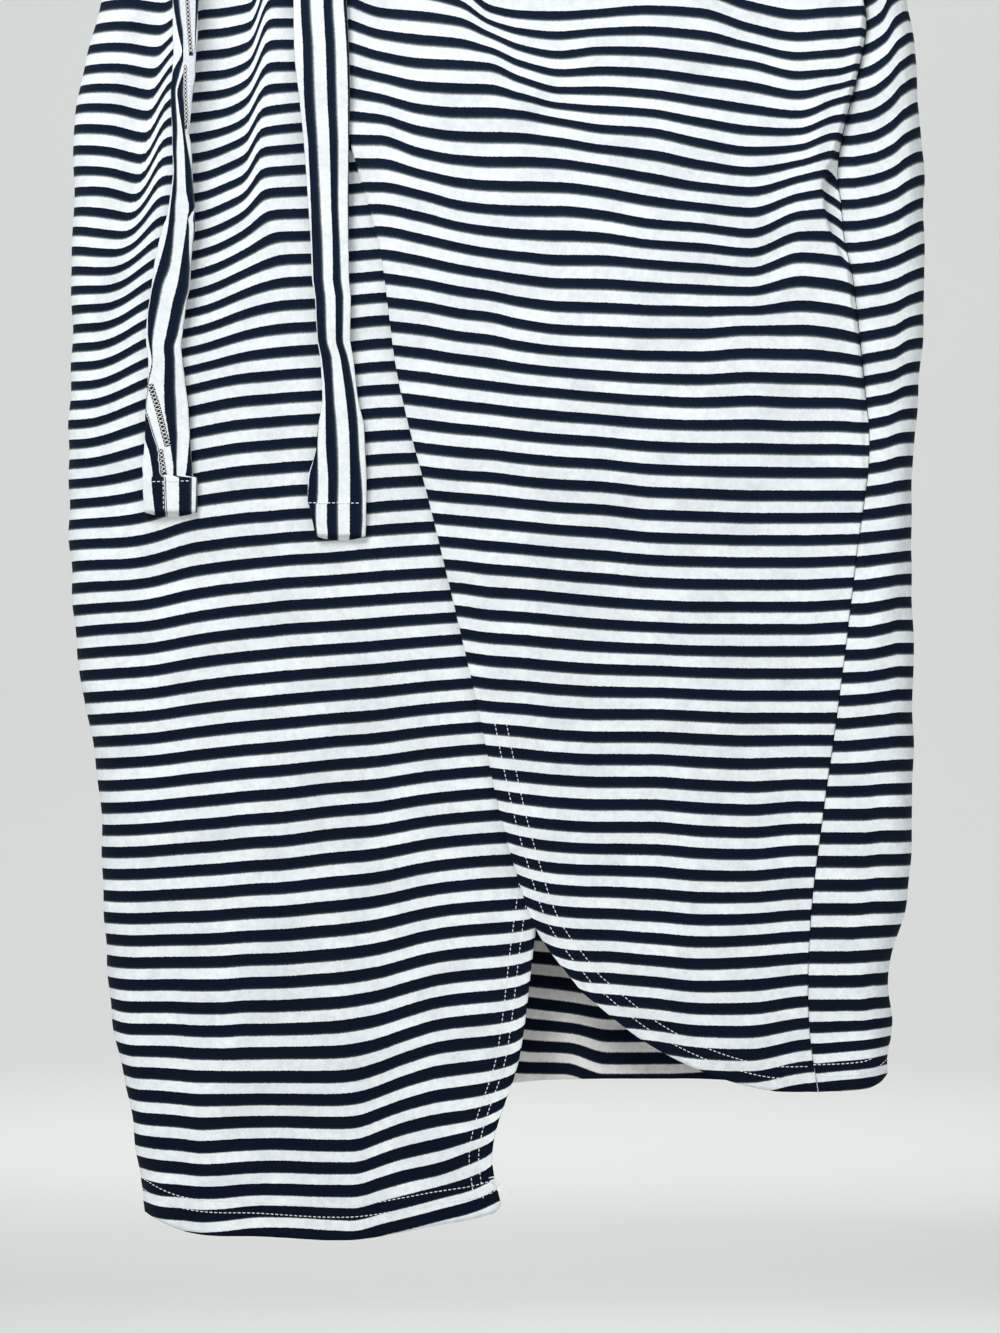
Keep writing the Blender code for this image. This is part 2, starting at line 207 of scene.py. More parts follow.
# Finer creases on top of those: the same columns, but each is steep on its left and eases off on its right
CREASES = (
    (-133, -560, -137, -780, 9, 1.2),
    (-176, -590, -204, -800, 12, 1.4),
    (-29, -625, 34, -672, 12, -1.2),
    (-5, -640, 60, -668, 10, 0.9),
    (186, -735, 200, -775, 9, -1.2),
    (221, -640, 226, -760, 8, 1.0),
    (-118, -900, -150, -1090, 16, 0.5),
    (20, -860, 70, -1010, 20, 0.5),
    (-10, -1060, -60, -1230, 18, 0.5),
)
CREASE_STEEP = 0.0012  # how far its steep side reaches
# Where along it a fold or crease comes and goes, as shares of its length
FOLD_COMES, FOLD_GOES = (-0.15, 0.25), (0.65, 1.15)
CREASE_COMES, CREASE_GOES = (-0.1, 0.3), (0.6, 1.1)
# Soft ridges and hollows: the columns of the folds
SOFT_CREASES = (
    (-89, -1120, -79, -1330, 8, 1.5),
    (-64, -1090, -60, -1330, 9, -0.8),
    (-140, -1110, -136, -1330, 13, 0.9),
    (-20, -1130, -28, -1290, 9, 0.8),
    (-175, -900, -178, -1120, 11, 0.8),
    (-125, -800, -120, -960, 12, -0.8),
    (-10, -790, 70, -850, 11, 0.9),
    (30, -730, 130, -800, 12, -0.9),
    (70, -850, 150, -905, 12, 0.8),
    (110, -900, 165, -1010, 12, -0.8),
    (60, -960, 90, -1090, 14, 0.9),
    (120, -1060, 130, -1200, 13, 0.8),
    (40, -640, 90, -655, 9, 0.8),
    (206, -780, 210, -900, 7, 0.9),
    (198, -1040, 196, -1200, 9, 0.8),
)
RIPPLE = 0.0006  # height of the cloth's own unevenness
RIPPLE_SEED = 11
RIPPLE_WAVES = 14

# The over panel's roll by the right seam: z, x of its edge, height, reach to its left. Between z -720 and
# -785 the seam lies further right, with a tuck between them whose stripes run down at TUCK_SLOPE.
SEAM_ROLL = (
    (-520, 168, 0.5, 20),
    (-600, 188, 2.0, 20),
    (-630, 200.2, 3.2, 20),
    (-648, 199.1, 3.7, 20),
    (-669, 195.3, 4.0, 22),
    (-689, 190.3, 4.3, 22),
    (-707.6, 185.4, 4.5, 22),
    (-719.7, 182, 4.5, 20),
    (-726, 179, 4.3, 18),
    (-733.4, 177.1, 4.1, 18),
    (-748.8, 178.8, 3.8, 18),
    (-759, 182.1, 3.4, 16),
    (-767, 185.4, 3.0, 14),
    (-779.6, 191.5, 2.5, 12),
    (-794, 193, 2.0, 12),
    (-838, 199, 1.2, 12),
    (-900, 200, 0.5, 12),
    (-1000, 186, 0.3, 10),
    (-1240, 173, 0.3, 10),
)
ROLL_STEEP = 0.0009
ROLL_END = 0.0006  # over which it closes at the seam
TUCK_SLOPE = 0.7
TUCK_FOOT, TUCK_HEAD = (-0.79, -0.775), (-0.728, -0.72)  # heights over which it comes and goes
SEAM_SINK = -0.0034  # the seam lies in a hollow, which eases off on the back's side
SEAM_SINK_REACH = 0.008
SEAM_SINK_HEIGHTS = (-0.95, -0.78)  # none below the first, full above the second
SEAM_SINK_ACROSS = (-0.001, 0.0005)

SHELL = 0.0009  # the panels' wall
HEM = 0.018  # depth of the turned hems
HEM_RAISE = 0.0004  # what the doubled cloth stands proud
STITCH_SINK = 0.0004
STITCH_SINK_WIDTH = 0.0014
PUCKER = 0.00025  # how far a hem ripples between its stitches
PUCKER_LENGTH = 0.012
HEM_FADES = (-0.0015, 0.0005)  # round its depth
ROWS_FROM_EDGE = 0.0075  # from a hem's edge to its first row of stitches

# Stripes. They're numbered down the garment, navy at whole numbers. Each row gives a stripe's number, then
# how far below the waist it lies at each station across the panel. The rows of these three tables were
# printed by another program, from stripe places in the picture, and some of the under panel's were changed.
PITCH = 0.0122  # where the tables end
# under panel: left fold, midway, crease A's left and right, -165, -150, crease B's left and right, then
# -126.5, -93.5, -80, -66, -52, -33, -17 and 0
UNDER_STRIPES = (
    (-30, 125, 125, 127, 120, 108, 106, 103, 84, 79, 78, 77.5, 77, 76.5, 76, 75.5, 75),
    (-28, 148, 148, 151, 139, 130, 128, 124, 107, 102, 101, 100.5, 100, 99.5, 99, 98.5, 98),
    (-26, 169, 170, 174, 158, 153, 151, 144, 128, 124, 123, 123, 123, 122.5, 122, 121.5, 121),
    (-24, 192, 194, 198, 179, 175, 172, 164, 153, 148, 147, 146, 145, 144.5, 144, 143.5, 143),
    (-22, 215, 216, 220, 200, 197, 192, 185, 174, 172, 168, 167.5, 167, 166, 165, 164.5, 164),
    (-20, 236, 239, 240, 222, 219, 213, 207, 196, 194, 191, 190.5, 190, 189, 188, 187.5, 187),
    (-18, 258, 260, 258, 245, 240, 234, 228, 220, 217, 215, 214, 213, 212.5, 212, 211.5, 211),
    (-16, 280, 280, 278, 267, 261, 255, 250, 245, 241, 240, 239, 238, 237, 236, 235.5, 235),
    (-13, 311, 312, 308, 300, 292, 287, 283, 280, 279, 277, 275.5, 274, 273.5, 273, 272, 271),
    (-10, 343, 344, 339, 334, 323, 320, 318, 318, 317, 315, 313.5, 312, 311.5, 311, 310.5, 310),
    (-7, 376, 376, 374, 371, 360, 358, 356, 356, 355, 353, 351.5, 350, 349.5, 349, 347.5, 346),
    (-4, 410, 409, 409, 408, 398, 397, 395, 395, 394, 392, 390.5, 389, 388, 387, 386, 385),
    (0, 458, 457, 456, 455, 449, 447, 446, 445, 444, 442, 441, 440, 439, 438, 437, 436),
    (10, 579, 579, 579, 578, 576, 575, 574, 573, 573, 569, 568, 567, 564, 561, 559.5, 558),
    (18, 674, 676, 676, 676, 677, 677, 676, 676, 676, 675, 673.5, 671, 666.5, 661, 659, 658),
    (20, 698, 700, 700, 701, 702, 702, 702, 702, 702, 702.5, 701.5, 697.5, 692, 686, 684, 683),
    (23, 737, 738, 738.5, 739.5, 741, 740, 739.5, 739, 739, 740, 740, 735.5, 730.5, 726, 724, 721),
    (25, 762, 763, 764, 765, 766, 765.5, 764.5, 764, 764, 765, 765, 761, 757, 753, 747, 743),
    (26, 775, 776, 777, 778, 779, 778, 777, 776, 776, 777.5, 778, 774.5, 771, 766, 762.3, 757),
)
# How the under panel's are eased across: mm aside, share; and by how much more below the sharp creases
STRIPE_EASE = ((-5, 0.08), (-3.3, 0.14), (-1.6, 0.18), (0, 0.2), (1.6, 0.18), (3.3, 0.14), (5, 0.08))
STRIPE_EASE_TOP = 0.7
STRIPE_EASE_LOW = 2.4
STRIPE_EASE_HEM = 1.0
EASE_LOW_DEPTHS = (0.71, 0.8)  # z without its sign, in metres
EASE_HEM_DEPTHS = (1.14, 1.2)
# over panel: at OVER_STATIONS
OVER_STRIPES = (
    (-27, 87, 93, 95, 103, 116, 119, 120, 119, 117, 118, 126, 131, 130, 129),
    (-25, 112, 118, 120, 123, 130, 137, 141, 139, 140, 143, 146, 152, 151, 147),
    (-23, 137, 142, 146, 147, 148, 155, 161, 161, 163, 167, 171, 174, 167, 163),
    (-21, 162, 165, 171, 173, 173, 174, 178, 182, 184, 190, 194, 192, 186, 186),
    (-19, 188, 188, 195, 199, 200, 200, 201, 204, 209, 214, 216, 209, 206, 209),
    (-17, 214, 214, 218, 224, 226, 227, 227, 229, 234, 236, 239, 229, 228, 234),
    (-15, 238, 238, 242, 247, 250, 252, 254, 254, 256, 258, 260, 252, 254, 258),
    (-12, 276, 277, 279, 283, 285, 289, 292, 293, 294, 294, 292, 292, 294, 297),
    (-9, 315, 316, 318, 321, 323, 325, 327, 329, 331, 332, 331, 332, 332, 333),
    (-5, 367, 368, 370, 372, 373, 375, 377, 378, 381, 382, 383, 383, 383, 383),
    (0, 429, 431, 433, 434, 436, 437, 439, 441, 443, 444, 444, 444, 443, 442),
    (5, 490, 492, 495, 497, 499, 500, 502, 503, 503, 504, 505, 505, 505, 505),
    (10, 553, 555, 557, 559, 560, 562, 564, 565, 565, 567, 568, 566, 566, 565),
    (16, 629, 630, 631, 632, 634, 635, 636, 636, 638, 640, 639, 637, 636, 635),
    (20, 676, 678, 679, 680, 680, 681, 682, 683, 685, 689, 690, 685, 683, 682),
)
# back panel: at BACK_STATIONS, which are how far past the right fold, or before it, a point lies
BACK_STRIPES = (
    (0, 116, 113, 108, 98, 94, 94, 88, 87, 87, 87, 87, 87, 85),
    (4, 164, 162, 155, 146, 141, 141, 138, 136, 136, 136, 136, 136, 135),
    (8, 211, 209, 205, 199, 195, 192, 190, 188, 188, 188, 188, 187, 187),
    (12, 258, 257, 254, 250, 246, 245, 242, 241, 241, 241, 241, 240, 240),
    (16, 309, 307, 305, 300, 298, 297, 294, 293, 293, 293, 293, 293, 293),
    (20, 358, 356, 354, 351, 350, 349, 345, 344, 344, 344, 344, 344, 344),
    (24, 407, 406, 405, 404, 403, 403, 400, 398, 398, 398, 398, 398, 398),
    (28, 458, 458, 456, 454, 454, 454, 451, 450, 450, 450, 450, 451, 451),
    (32, 508, 507, 506, 505, 505, 505, 504, 503, 503, 503, 503, 504, 504),
    (36, 558, 558, 557, 557, 557, 557, 556, 554, 554, 554, 554, 557, 557),
    (40, 610, 610, 609, 609, 609, 609, 617, 617, 614, 613, 612, 609, 608),
    (44, 663, 663, 663, 662, 662, 662, 669, 670, 667, 664, 662, 660, 658),
    (46, 687, 686, 685, 684, 683, 683, 695, 695, 689, 688, 686, 684, 682),
    (48, 708, 707, 706, 705, 704, 705, 718, 718, 712, 712, 712, 708, 704),
)
UNDER_STATIONS = (-165, -150, -126.5, -93.5, -80, -66, -52, -33, -17, 0)
OVER_STATIONS = (-82.5, -66, -44, -22, -5.5, 11, 33, 55, 82.5, 110, 137.5, 165, 184, 198)
BACK_STATIONS = (-39, -28.5, -17.5, -9, 0, 10, 122, 155, 177, 199, 214, 330, 450)
# The two creases that the under panel's stripes step across: z, x, reach to the left, reach to the right
CREASE_A = (
    (-600, -176, 4, 4),
    (-634, -179, 4, 4),
    (-672, -185, 4, 4),
    (-714, -190, 4, 4),
    (-754, -196, 4, 4.5),
    (-791, -202, 4.5, 4.5),
    (-850, -206, 6, 6),
    (-960, -207, 8, 10),
    (-1125, -198, 8, 10),
    (-1235, -187, 6, 10),
    (-1312, -180, 6, 8),
)
CREASE_B = (
    (-600, -133, 0.8, 2.5),
    (-634, -133, 0.8, 2.5),
    (-700, -136, 0.8, 3),
    (-740, -137, 1.2, 3.5),
    (-773, -137, 4, 7),
    (-850, -137, 6, 8),
    (-1312, -137, 6, 8),
)
# How far the stripes ride up at a free edge: height, rise at the edge, reach
OVER_EDGE_RISE = (
    (-500, 0, 10),
    (-1060, 0.5, 12),
    (-1110, 5, 12),
    (-1140, 6, 12),
    (-1170, 3, 10),
    (-1231, 0.5, 10),
)
UNDER_EDGE_RISE = (
    (-500, 0, 8),
    (-1100, 0, 8),
    (-1140, 4, 9),
    (-1190, 6.5, 8),
    (-1240, 6, 8),
    (-1300, 2, 8),
)

# Ties: z, left edge, then where each of four navy bands starts and ends, then the right edge. These rows
# too were printed by another program, from places in the picture, and some of the left one's were changed.
TIE_LEFT_BANDS = (
    (-630, -178.9, -178.9, -178.9, -178.9, -175.2, -167.6, -164.6, -164.6, -164.6, -164.6),
    (-640, -178.9, -178.9, -178.9, -177.7, -174.6, -167.9, -165.2, -165.2, -165.2, -165.2),
    (-651, -178.9, -178.9, -178.9, -175.7, -173.0, -168.2, -165.9, -165.2, -165.2, -165.2),
    (-661, -178.5, -178.5, -178.5, -173.6, -172.3, -168.8, -166.7, -166.2, -166.2, -166.2),
    (-672, -179.1, -179.1, -179.1, -178.9, -174.6, -173.0, -172.2, -166.4, -166.4, -166.4),
    (-683, -179.9, -179.9, -179.9, -179.9, -177.1, -176.3, -173.0, -167.9, -167.9, -167.9),
    (-693, -179.7, -179.7, -179.7, -179.6, -176.6, -175.2, -171.7, -169.2, -169.2, -169.2),
    (-703, -179.3, -179.3, -179.3, -179.0, -176.2, -173.6, -172.0, -170.1, -170.1, -170.1),
    (-714, -179.1, -179.1, -179.1, -178.9, -176.7, -172.5, -170.5, -168.5, -168.5, -168.5),
    (-725, -178.8, -178.8, -178.8, -178.3, -176.6, -172.0, -168.6, -168.3, -168.3, -168.3),
    (-735, -179.9, -179.9, -179.9, -179.1, -176.7, -171.7, -167.8, -167.8, -167.8, -167.8),
    (-746, -181.5, -181.5, -181.5, -180.4, -177.7, -170.0, -167.0, -167.0, -167.0, -167.0),
    (-752, -182.8, -182.8, -182.8, -181.0, -177.7, -170.9, -170.6, -167.8, -167.0, -167.0),
    (-756, -184.6, -184.6, -184.6, -181.5, -178.3, -171.3, -170.0, -167.4, -167.0, -166.9),
    (-767, -187.3, -187.3, -187.3, -183.8, -179.0, -173.0, -170.0, -168.3, -168.3, -168.3),
    (-777, -189.4, -189.4, -189.4, -186.7, -180.4, -174.6, -169.6, -169.2, -169.2, -169.2),
    (-788, -190.7, -190.7, -190.7, -190.0, -184.5, -176.4, -170.1, -169.7, -169.7, -169.7),
    (-797, -192.1, -192.1, -192.1, -191.7, -186.5, -178.9, -172.2, -171.6, -171.6, -171.6),
    (-806, -193.3, -193.3, -193.3, -192.8, -188.5, -180.7, -174.4, -172.7, -172.7, -172.7),
    (-815, -193.9, -193.9, -193.9, -192.8, -190.0, -182.7, -176.4, -173.9, -173.9, -173.9),
    (-822, -193.6, -193.6, -193.6, -191.7, -190.5, -183.9, -178.4, -174.5, -174.5, -174.5),
    (-829, -192.7, -192.7, -192.7, -190.5, -190.5, -183.4, -178.0, -173.8, -173.8, -173.8),
    (-842, -193.1, -193.1, -193.1, -193.1, -193.0, -183.7, -178.0, -172.2, -172.2, -172.2),
    (-856, -194.4, -194.4, -194.4, -194.4, -194.3, -183.3, -177.5, -170.5, -170.5, -170.5),
    (-861, -194.5, -194.5, -192.6, -192.6, -192.5, -182.6, -177.4, -170.3, -170.3, -170.3),
    (-870, -194.7, -194.7, -189.9, -189.9, -189.8, -181.2, -177.1, -170.0, -170.0, -170.0),
    (-879, -195.3, -192.1, -187.2, -187.2, -187.1, -179.9, -177.3, -170.7, -169.7, -169.4),
    (-888, -196.2, -190.6, -186.4, -186.4, -186.3, -178.8, -177.5, -171.6, -168.9, -168.9),
    (-892, -195.8, -190.2, -185.4, -185.4, -185.3, -178.8, -177.5, -172.2, -168.9, -168.3),
    (-893, -196.2, -190.8, -184.0, -184.0, -183.9, -175.7, -168.9, -166.4, -166.2, -166.0),
    (-912, -195.0, -189.2, -183.4, -183.4, -183.3, -175.7, -169.1, -166.8, -166.4, -166.2),
)
TIE_RIGHT_BANDS = (
    (-630, -113.1, -113.1, -113.1, -109.2, -103.8, -96.6, -91.5, -85.6, -83.9, -83.9),
    (-658, -112.8, -112.8, -112.8, -107.8, -102.3, -95.3, -90.0, -83.9, -82.7, -82.7),
    (-685, -110.0, -110.0, -110.0, -107.3, -101.4, -94.5, -89.4, -83.2, -82.2, -82.2),
    (-712, -107.3, -107.3, -107.3, -105.1, -99.9, -93.2, -88.6, -83.1, -82.7, -82.7),
    (-740, -105.3, -105.3, -105.3, -103.8, -98.6, -92.5, -88.6, -83.3, -82.9, -82.9),
    (-768, -103.5, -103.5, -103.5, -102.9, -97.2, -91.5, -87.6, -82.9, -82.9, -82.9),
    (-784, -103.0, -103.0, -103.0, -102.3, -96.9, -91.5, -87.1, -82.7, -82.7, -82.7),
    (-795, -101.4, -101.4, -101.4, -101.0, -95.7, -90.0, -85.8, -81.7, -81.7, -81.7),
    (-817, -100.1, -100.1, -100.1, -99.8, -95.0, -89.9, -86.1, -82.0, -82.0, -82.0),
    (-828, -98.5, -98.5, -98.5, -97.7, -92.2, -87.3, -83.2, -80.3, -80.3, -80.3),
    (-850, -97.4, -97.4, -97.4, -95.7, -91.0, -84.2, -79.3, -77.8, -77.8, -77.8),
    (-866, -99.9, -99.9, -99.8, -95.5, -89.7, -82.7, -77.8, -74.4, -74.4, -74.4),
    (-878, -100.9, -100.9, -100.1, -95.2, -89.1, -82.2, -77.3, -73.9, -73.9, -73.9),
    (-894, -105.3, -104.5, -99.9, -94.1, -88.8, -82.0, -76.0, -73.2, -73.2, -73.2),
    (-906, -105.5, -105.3, -100.4, -94.1, -89.1, -82.0, -75.4, -73.2, -73.2, -73.2),
    (-908, -104.8, -104.6, -101.2, -94.7, -89.1, -82.2, -75.4, -73.4, -73.4, -73.4),
    (-916, -103.1, -103.0, -101.2, -94.7, -89.1, -82.2, -75.4, -73.4, -73.4, -73.4),
    (-925, -101.2, -101.1, -100.4, -94.3, -89.1, -82.2, -75.9, -73.7, -73.7, -73.7),
)
# Height, thickness, gap to the cloth
TIE_LEFT_DEPTH = (
    (-520, 3.0, 0.3),
    (-560, 4.5, 2),
    (-630, 5.0, 5),
    (-685, 5.5, 5),
    (-740, 5.0, 3),
    (-795, 4.5, 2),
    (-830, 4.5, 2),
    (-883, 3.8, 1.5),
    (-892, 3.8, 1.4),
    (-893.2, 5.0, 0.8),
    (-910, 4.6, 0.8),
    (-914, 4.0, 1.0),
)
TIE_RIGHT_DEPTH = (
    (-520, 3.0, 4.0),
    (-560, 2.6, 5),
    (-630, 2.6, 5),
    (-740, 2.6, 5),
    (-850, 2.8, 4),
    (-904.5, 2.8, 1.4),
    (-906, 4.0, 0.8),
    (-922, 3.8, 0.8),
    (-926, 3.2, 1.0),
)
# Above the bands' first row: z, left edge, right edge
TIE_LEFT_TOP = ((-520, -182, -158), (-560, -180, -162), (-600, -179, -164))
TIE_RIGHT_TOP = ((-520, -108, -84), (-560, -112, -84), (-600, -113, -84))
# The reverse of the left tie: z, left edge, right edge
TIE_REVERSE_TOP = (
    (-560, -175, -165.5),
    (-630, -174.4, -166.2),
    (-651, -173, -166.6),
    (-672, -172.9, -167.0),
    (-688, -172.6, -168.4),
    (-706, -171.8, -170.2),
)
# Looped stitching and plain rows on the ties: places in mm
LOOPS_UPPER = ((-171.6, -560), (-171, -630), (-170, -646.5), (-168.7, -663))
LOOPS_POINT = ((-171.9, -668), (-171.8, -680), (-171.1, -703))
LOOPS_MIDDLE = ((-191.6, -842), (-188.6, -851), (-186.6, -858), (-184.2, -868), (-182, -876))
LOOPS_LOWER = ((-186, -877.5), (-185, -884), (-183.8, -891.5))
LOOP_WIDTH = 0.0024
LOOP_PITCH = 0.0022
LOOP_THREAD = 0.00019
SLIT_SHARE = 0.9  # of the loops' width
TIE_LEFT_STITCHES = (((-190.5, -895.3), (-167.5, -894.8)), ((-184.6, -895.5), (-184.4, -911.5)))
TIE_RIGHT_STITCHES = (((-105, -906.8), (-75.5, -907)),)

TIE_ROWS = 220
TIE_SIDES = 96
TIE_BOXY = 4  # the higher, the squarer its section
TIE_WALL = 0.0007
TIE_BACK_LONGER = 0.0024  # how far the back of a tie's open foot shows below its front
TIE_FEELERS = 9  # points across a tie where it must clear the cloth
BAND_NUMBERS = (-1.23, -0.77, -0.23, 0.23, 0.77, 1.23, 1.77, 2.23)  # stripe numbers at the navy bands' edges
REVERSE_GRID = (90, 7)
# How far things lie off a tie's front, and off the cloth
REVERSE_OUT = 0.00006
SLIT_OUT = 0.00012
LOOP_OUT = 0.0002
LOOSE_OUT = 0.0008

# Frayed ends at the under panel's low corner: places in mm
LOOSE_THREADS = (
    ((-1.5, -1279), (2.2, -1287.8), (4, -1288.2), (6, -1286.7), (5, -1284), (8.2, -1284)),
    ((-5.5, -1279.6), (-2, -1281), (-3.2, -1283.5), (0.6, -1285)),
    ((-4.5, -1282), (-1, -1284.5), (1.1, -1283), (0.4, -1288.5)),
    ((-6.2, -1277.8), (-3, -1277), (-1.2, -1279.4), (1.8, -1281.2)),
)
THREAD = 0.00026  # radius
THREAD_SIDES = 6
# Shares of its length, and of its radius there
THREAD_PROFILE = ((-0.5, 0.25), (-0.36, 0.95), (0.36, 0.95), (0.5, 0.25))
STITCH = 0.0017
STITCH_STEP = 0.0026
TWIN_GAP = 0.0064  # between the twin rows of a hem
UNDER_TWIN_GAP = 0.0052  # and at the under panel's free edge

# The rows show below these heights; above the hems they lie this far up
OVER_ROWS_FROM = -1.02
UNDER_ROWS_FROM = -1.0
BACK_ROWS_UP = 0.0085
UNDER_ROWS_UP = 0.013
UNDER_ROWS_DROP = 0.002  # less at its free end
UNDER_TURNED_FROM = -0.95  # its free edge is turned in below this height
BODICE_ROWS_IN = 0.006  # from an edge of the bodice to its first row

# Columns and rows of the fine panels
OVER_GRID = (130, 250)
UNDER_GRID = (120, 280)
BACK_GRID = (170, 230)
BODICE_OVER_GRID = (70, 150)
BODICE_UNDER_GRID = (90, 150)
BODICE_BACK_GRID = (130, 60)
# Where columns stand closer: from the seam's roll on, and from one arc to another; then how many times
OVER_CLOSE_WAY, OVER_CLOSE = 0.012, 3.5
UNDER_CLOSE = ((0.03, 0.15, 2.2),)

CAMERA_Z = -0.9966
CAMERA_BACK = 2.6  # from the camera to the cloth
FRONT_Y = -0.016
LENS = 127.7
SENSOR = 36
FLOOR_Z = -1.72
FLOOR_RADIUS = 6.0
RIM_RADIUS = 2.5
RIM_WALL = 3
FLOOR_SIDES = 96


# Curves and the tube, as in the part's source


def between(start, end, leaving, arriving, step, u):
    """A cubic from start to end at share u of a step, with the slopes it leaves and arrives with."""
    return (
        start * (1 + 2 * u) * (1 - u) ** 2
        + leaving * step * u * (1 - u) ** 2
        + end * u**2 * (3 - 2 * u)
        - arriving * step * u**2 * (1 - u)
    )


def even_slopes(slopes, axis):
    """Slopes at a table's rows from those between them, so that a curve never runs past two rows."""
    count = slopes.shape[axis]
    before = np.take(slopes, range(count - 1), axis)
    after = np.take(slopes, range(1, count), axis)
    agree = before * after > 0
    meet = np.where(agree, 2 * before * after / np.where(agree, before + after, 1), 0)
    first = np.take(slopes, [0], axis)
    last = np.take(slopes, [count - 1], axis)
    return np.concatenate([first, meet, last], axis)


def through(rows, at, slopes_of):
    """The later columns of a table, on a curve through its rows, where its first column is at."""
    table = np.array(rows, float)
    table = table[np.argsort(table[:, 0])]
    keys, values = table[:, 0], table[:, 1:]
    slopes = slopes_of(values, keys)
    at = np.clip(np.asarray(at, float), keys[0], keys[-1])
    row = np.clip(np.searchsorted(keys, at) - 1, 0, len(keys) - 2)
    step = (keys[row + 1] - keys[row])[..., None]
    u = (at - keys[row])[..., None] / step
    return between(values[row], values[row + 1], slopes[row], slopes[row + 1], step, u)


def curve_through(rows, at):
    """A smooth curve through a table's rows."""
    return through(rows, at, lambda values, keys: np.gradient(values, keys, axis=0))


def held_through(rows, at):
    """The same, with a curve that never runs past two neighbouring rows."""

    def slopes_of(values, keys):
        return even_slopes(np.diff(values, axis=0) / np.diff(keys)[:, None], 0)

    return through(rows, at, slopes_of)


def straight_through(rows, at):
    """The same with straight lines between the rows."""
    table = np.array(rows, float)
    table = table[np.argsort(table[:, 0])]
    return np.stack([np.interp(at, table[:, 0], column) for column in table[:, 1:].T], -1)


def reach_along(points):
    """How far along a line each of its points lies."""
    return np.r_[0, np.cumsum(np.linalg.norm(np.diff(points, axis=0), axis=1))]


def sideways(line):
    """The direction to the left of a line at each of its points."""
    run = np.gradient(line, axis=0)
    run /= np.linalg.norm(run, axis=1)[:, None]
    return np.stack([-run[:, 1], run[:, 0]], 1)


def evenly(points, count):
    reach = reach_along(points)
    even = np.linspace(0, reach[-1], count)
    return np.stack([np.interp(even, reach, column) for column in points.T], 1)


def path_through(rows, count):
    rows = np.array(rows, float) / 1000
    reach = reach_along(rows)
    return evenly(curve_through(np.c_[reach, rows], np.linspace(0, reach[-1], 600)), count)


def tube(z):
    found = curve_through(TUBE, np.asarray(z) * 1000) / 1000
    return found[..., 0], found[..., 1], found[..., 2]


def front_length(z):
    left, right, depth = tube(z)
    return math.pi * depth + right - left - 2 * depth


def arc_of(x, z):
    left, right, depth = tube(z)
    near = np.arccos(1 - np.clip((x - left) / depth, 0, 1)) * depth
    middle = np.clip(x - left - depth, 0, right - left - 2 * depth)
    far = np.arcsin(np.clip((x - right + depth) / depth, 0, 1)) * depth
    return near + middle + far


def back_arc_of(x, z):
    return 2 * front_length(z) - arc_of(x, z)


def smooth_step(value, start, end):
    u = np.clip((value - start) / (end - start), 0, 1)
    return u * u * (3 - 2 * u)


def along_and_across(x, z, x0, z0, x1, z1):
    """How far along a line a point lies, as a share, and how far to its side."""
    run = np.array((x1 - x0, z1 - z0))
    length = np.linalg.norm(run)
    along = ((x - x0) * run[0] + (z - z0) * run[1]) / length**2
    across = ((x - x0) * run[1] - (z - z0) * run[0]) / length
    return along, across


def round_the_folds(turned, z):
    """The angles turned round the left and right fold, and x, at an arc from the left fold."""
    left, right, depth = tube(z)
    near = np.clip(turned / depth, 0, math.pi / 2)
    middle = np.clip(turned - near * depth, 0, right - left - 2 * depth)
    far = np.clip((turned - near * depth - middle) / depth, 0, math.pi / 2)
    return near, far, left + depth * (1 - np.cos(near)) + middle + depth * np.sin(far)


def comes_and_goes(along, comes, goes):
    return smooth_step(along, *comes) * (1 - smooth_step(along, *goes))


def steep_on_one_side(way, reach, steep):
    """Falls off slowly on the side where way is positive, and steeply on the other."""
    return np.where(way > 0, np.exp(-np.abs(way) / reach), np.exp(-((way / steep) ** 2)))


def fold_relief(x, z, folds):
    total = np.zeros(np.shape(x))
    for x0, z0, x1, z1, half_width, rise in np.array(folds) / 1000:
        along, across = along_and_across(x, z, x0, z0, x1, z1)
        fade = comes_and_goes(along, FOLD_COMES, FOLD_GOES)
        total += rise * fade * np.exp(-((across / half_width) ** 2))
    return total


def crease_relief(x, z):
    total = np.zeros(np.shape(x))
    for x0, z0, x1, z1, reach, rise in np.array(CREASES) / 1000:
        along, across = along_and_across(x, z, x0, z0, x1, z1)
        fade = comes_and_goes(along, CREASE_COMES, CREASE_GOES)
        total += rise * fade * steep_on_one_side(-across, reach, CREASE_STEEP)
    return total


def soft_relief(x, z):
    return crease_relief(x, z) + fold_relief(x, z, SOFT_CREASES)


def ripples(s, z):
    """The jersey's own unevenness: a sum of faint waves that run every way."""
    rng = np.random.default_rng(RIPPLE_SEED)
    total = np.zeros(np.shape(s))
    for _ in range(RIPPLE_WAVES):
        turn, phase, length = rng.uniform(0, math.tau), rng.uniform(0, math.tau), rng.uniform(0.022, 0.075)
        total += np.sin(math.tau * (s * math.cos(turn) + z * math.sin(turn)) / length + phase)
    return total * RIPPLE / math.sqrt(RIPPLE_WAVES)


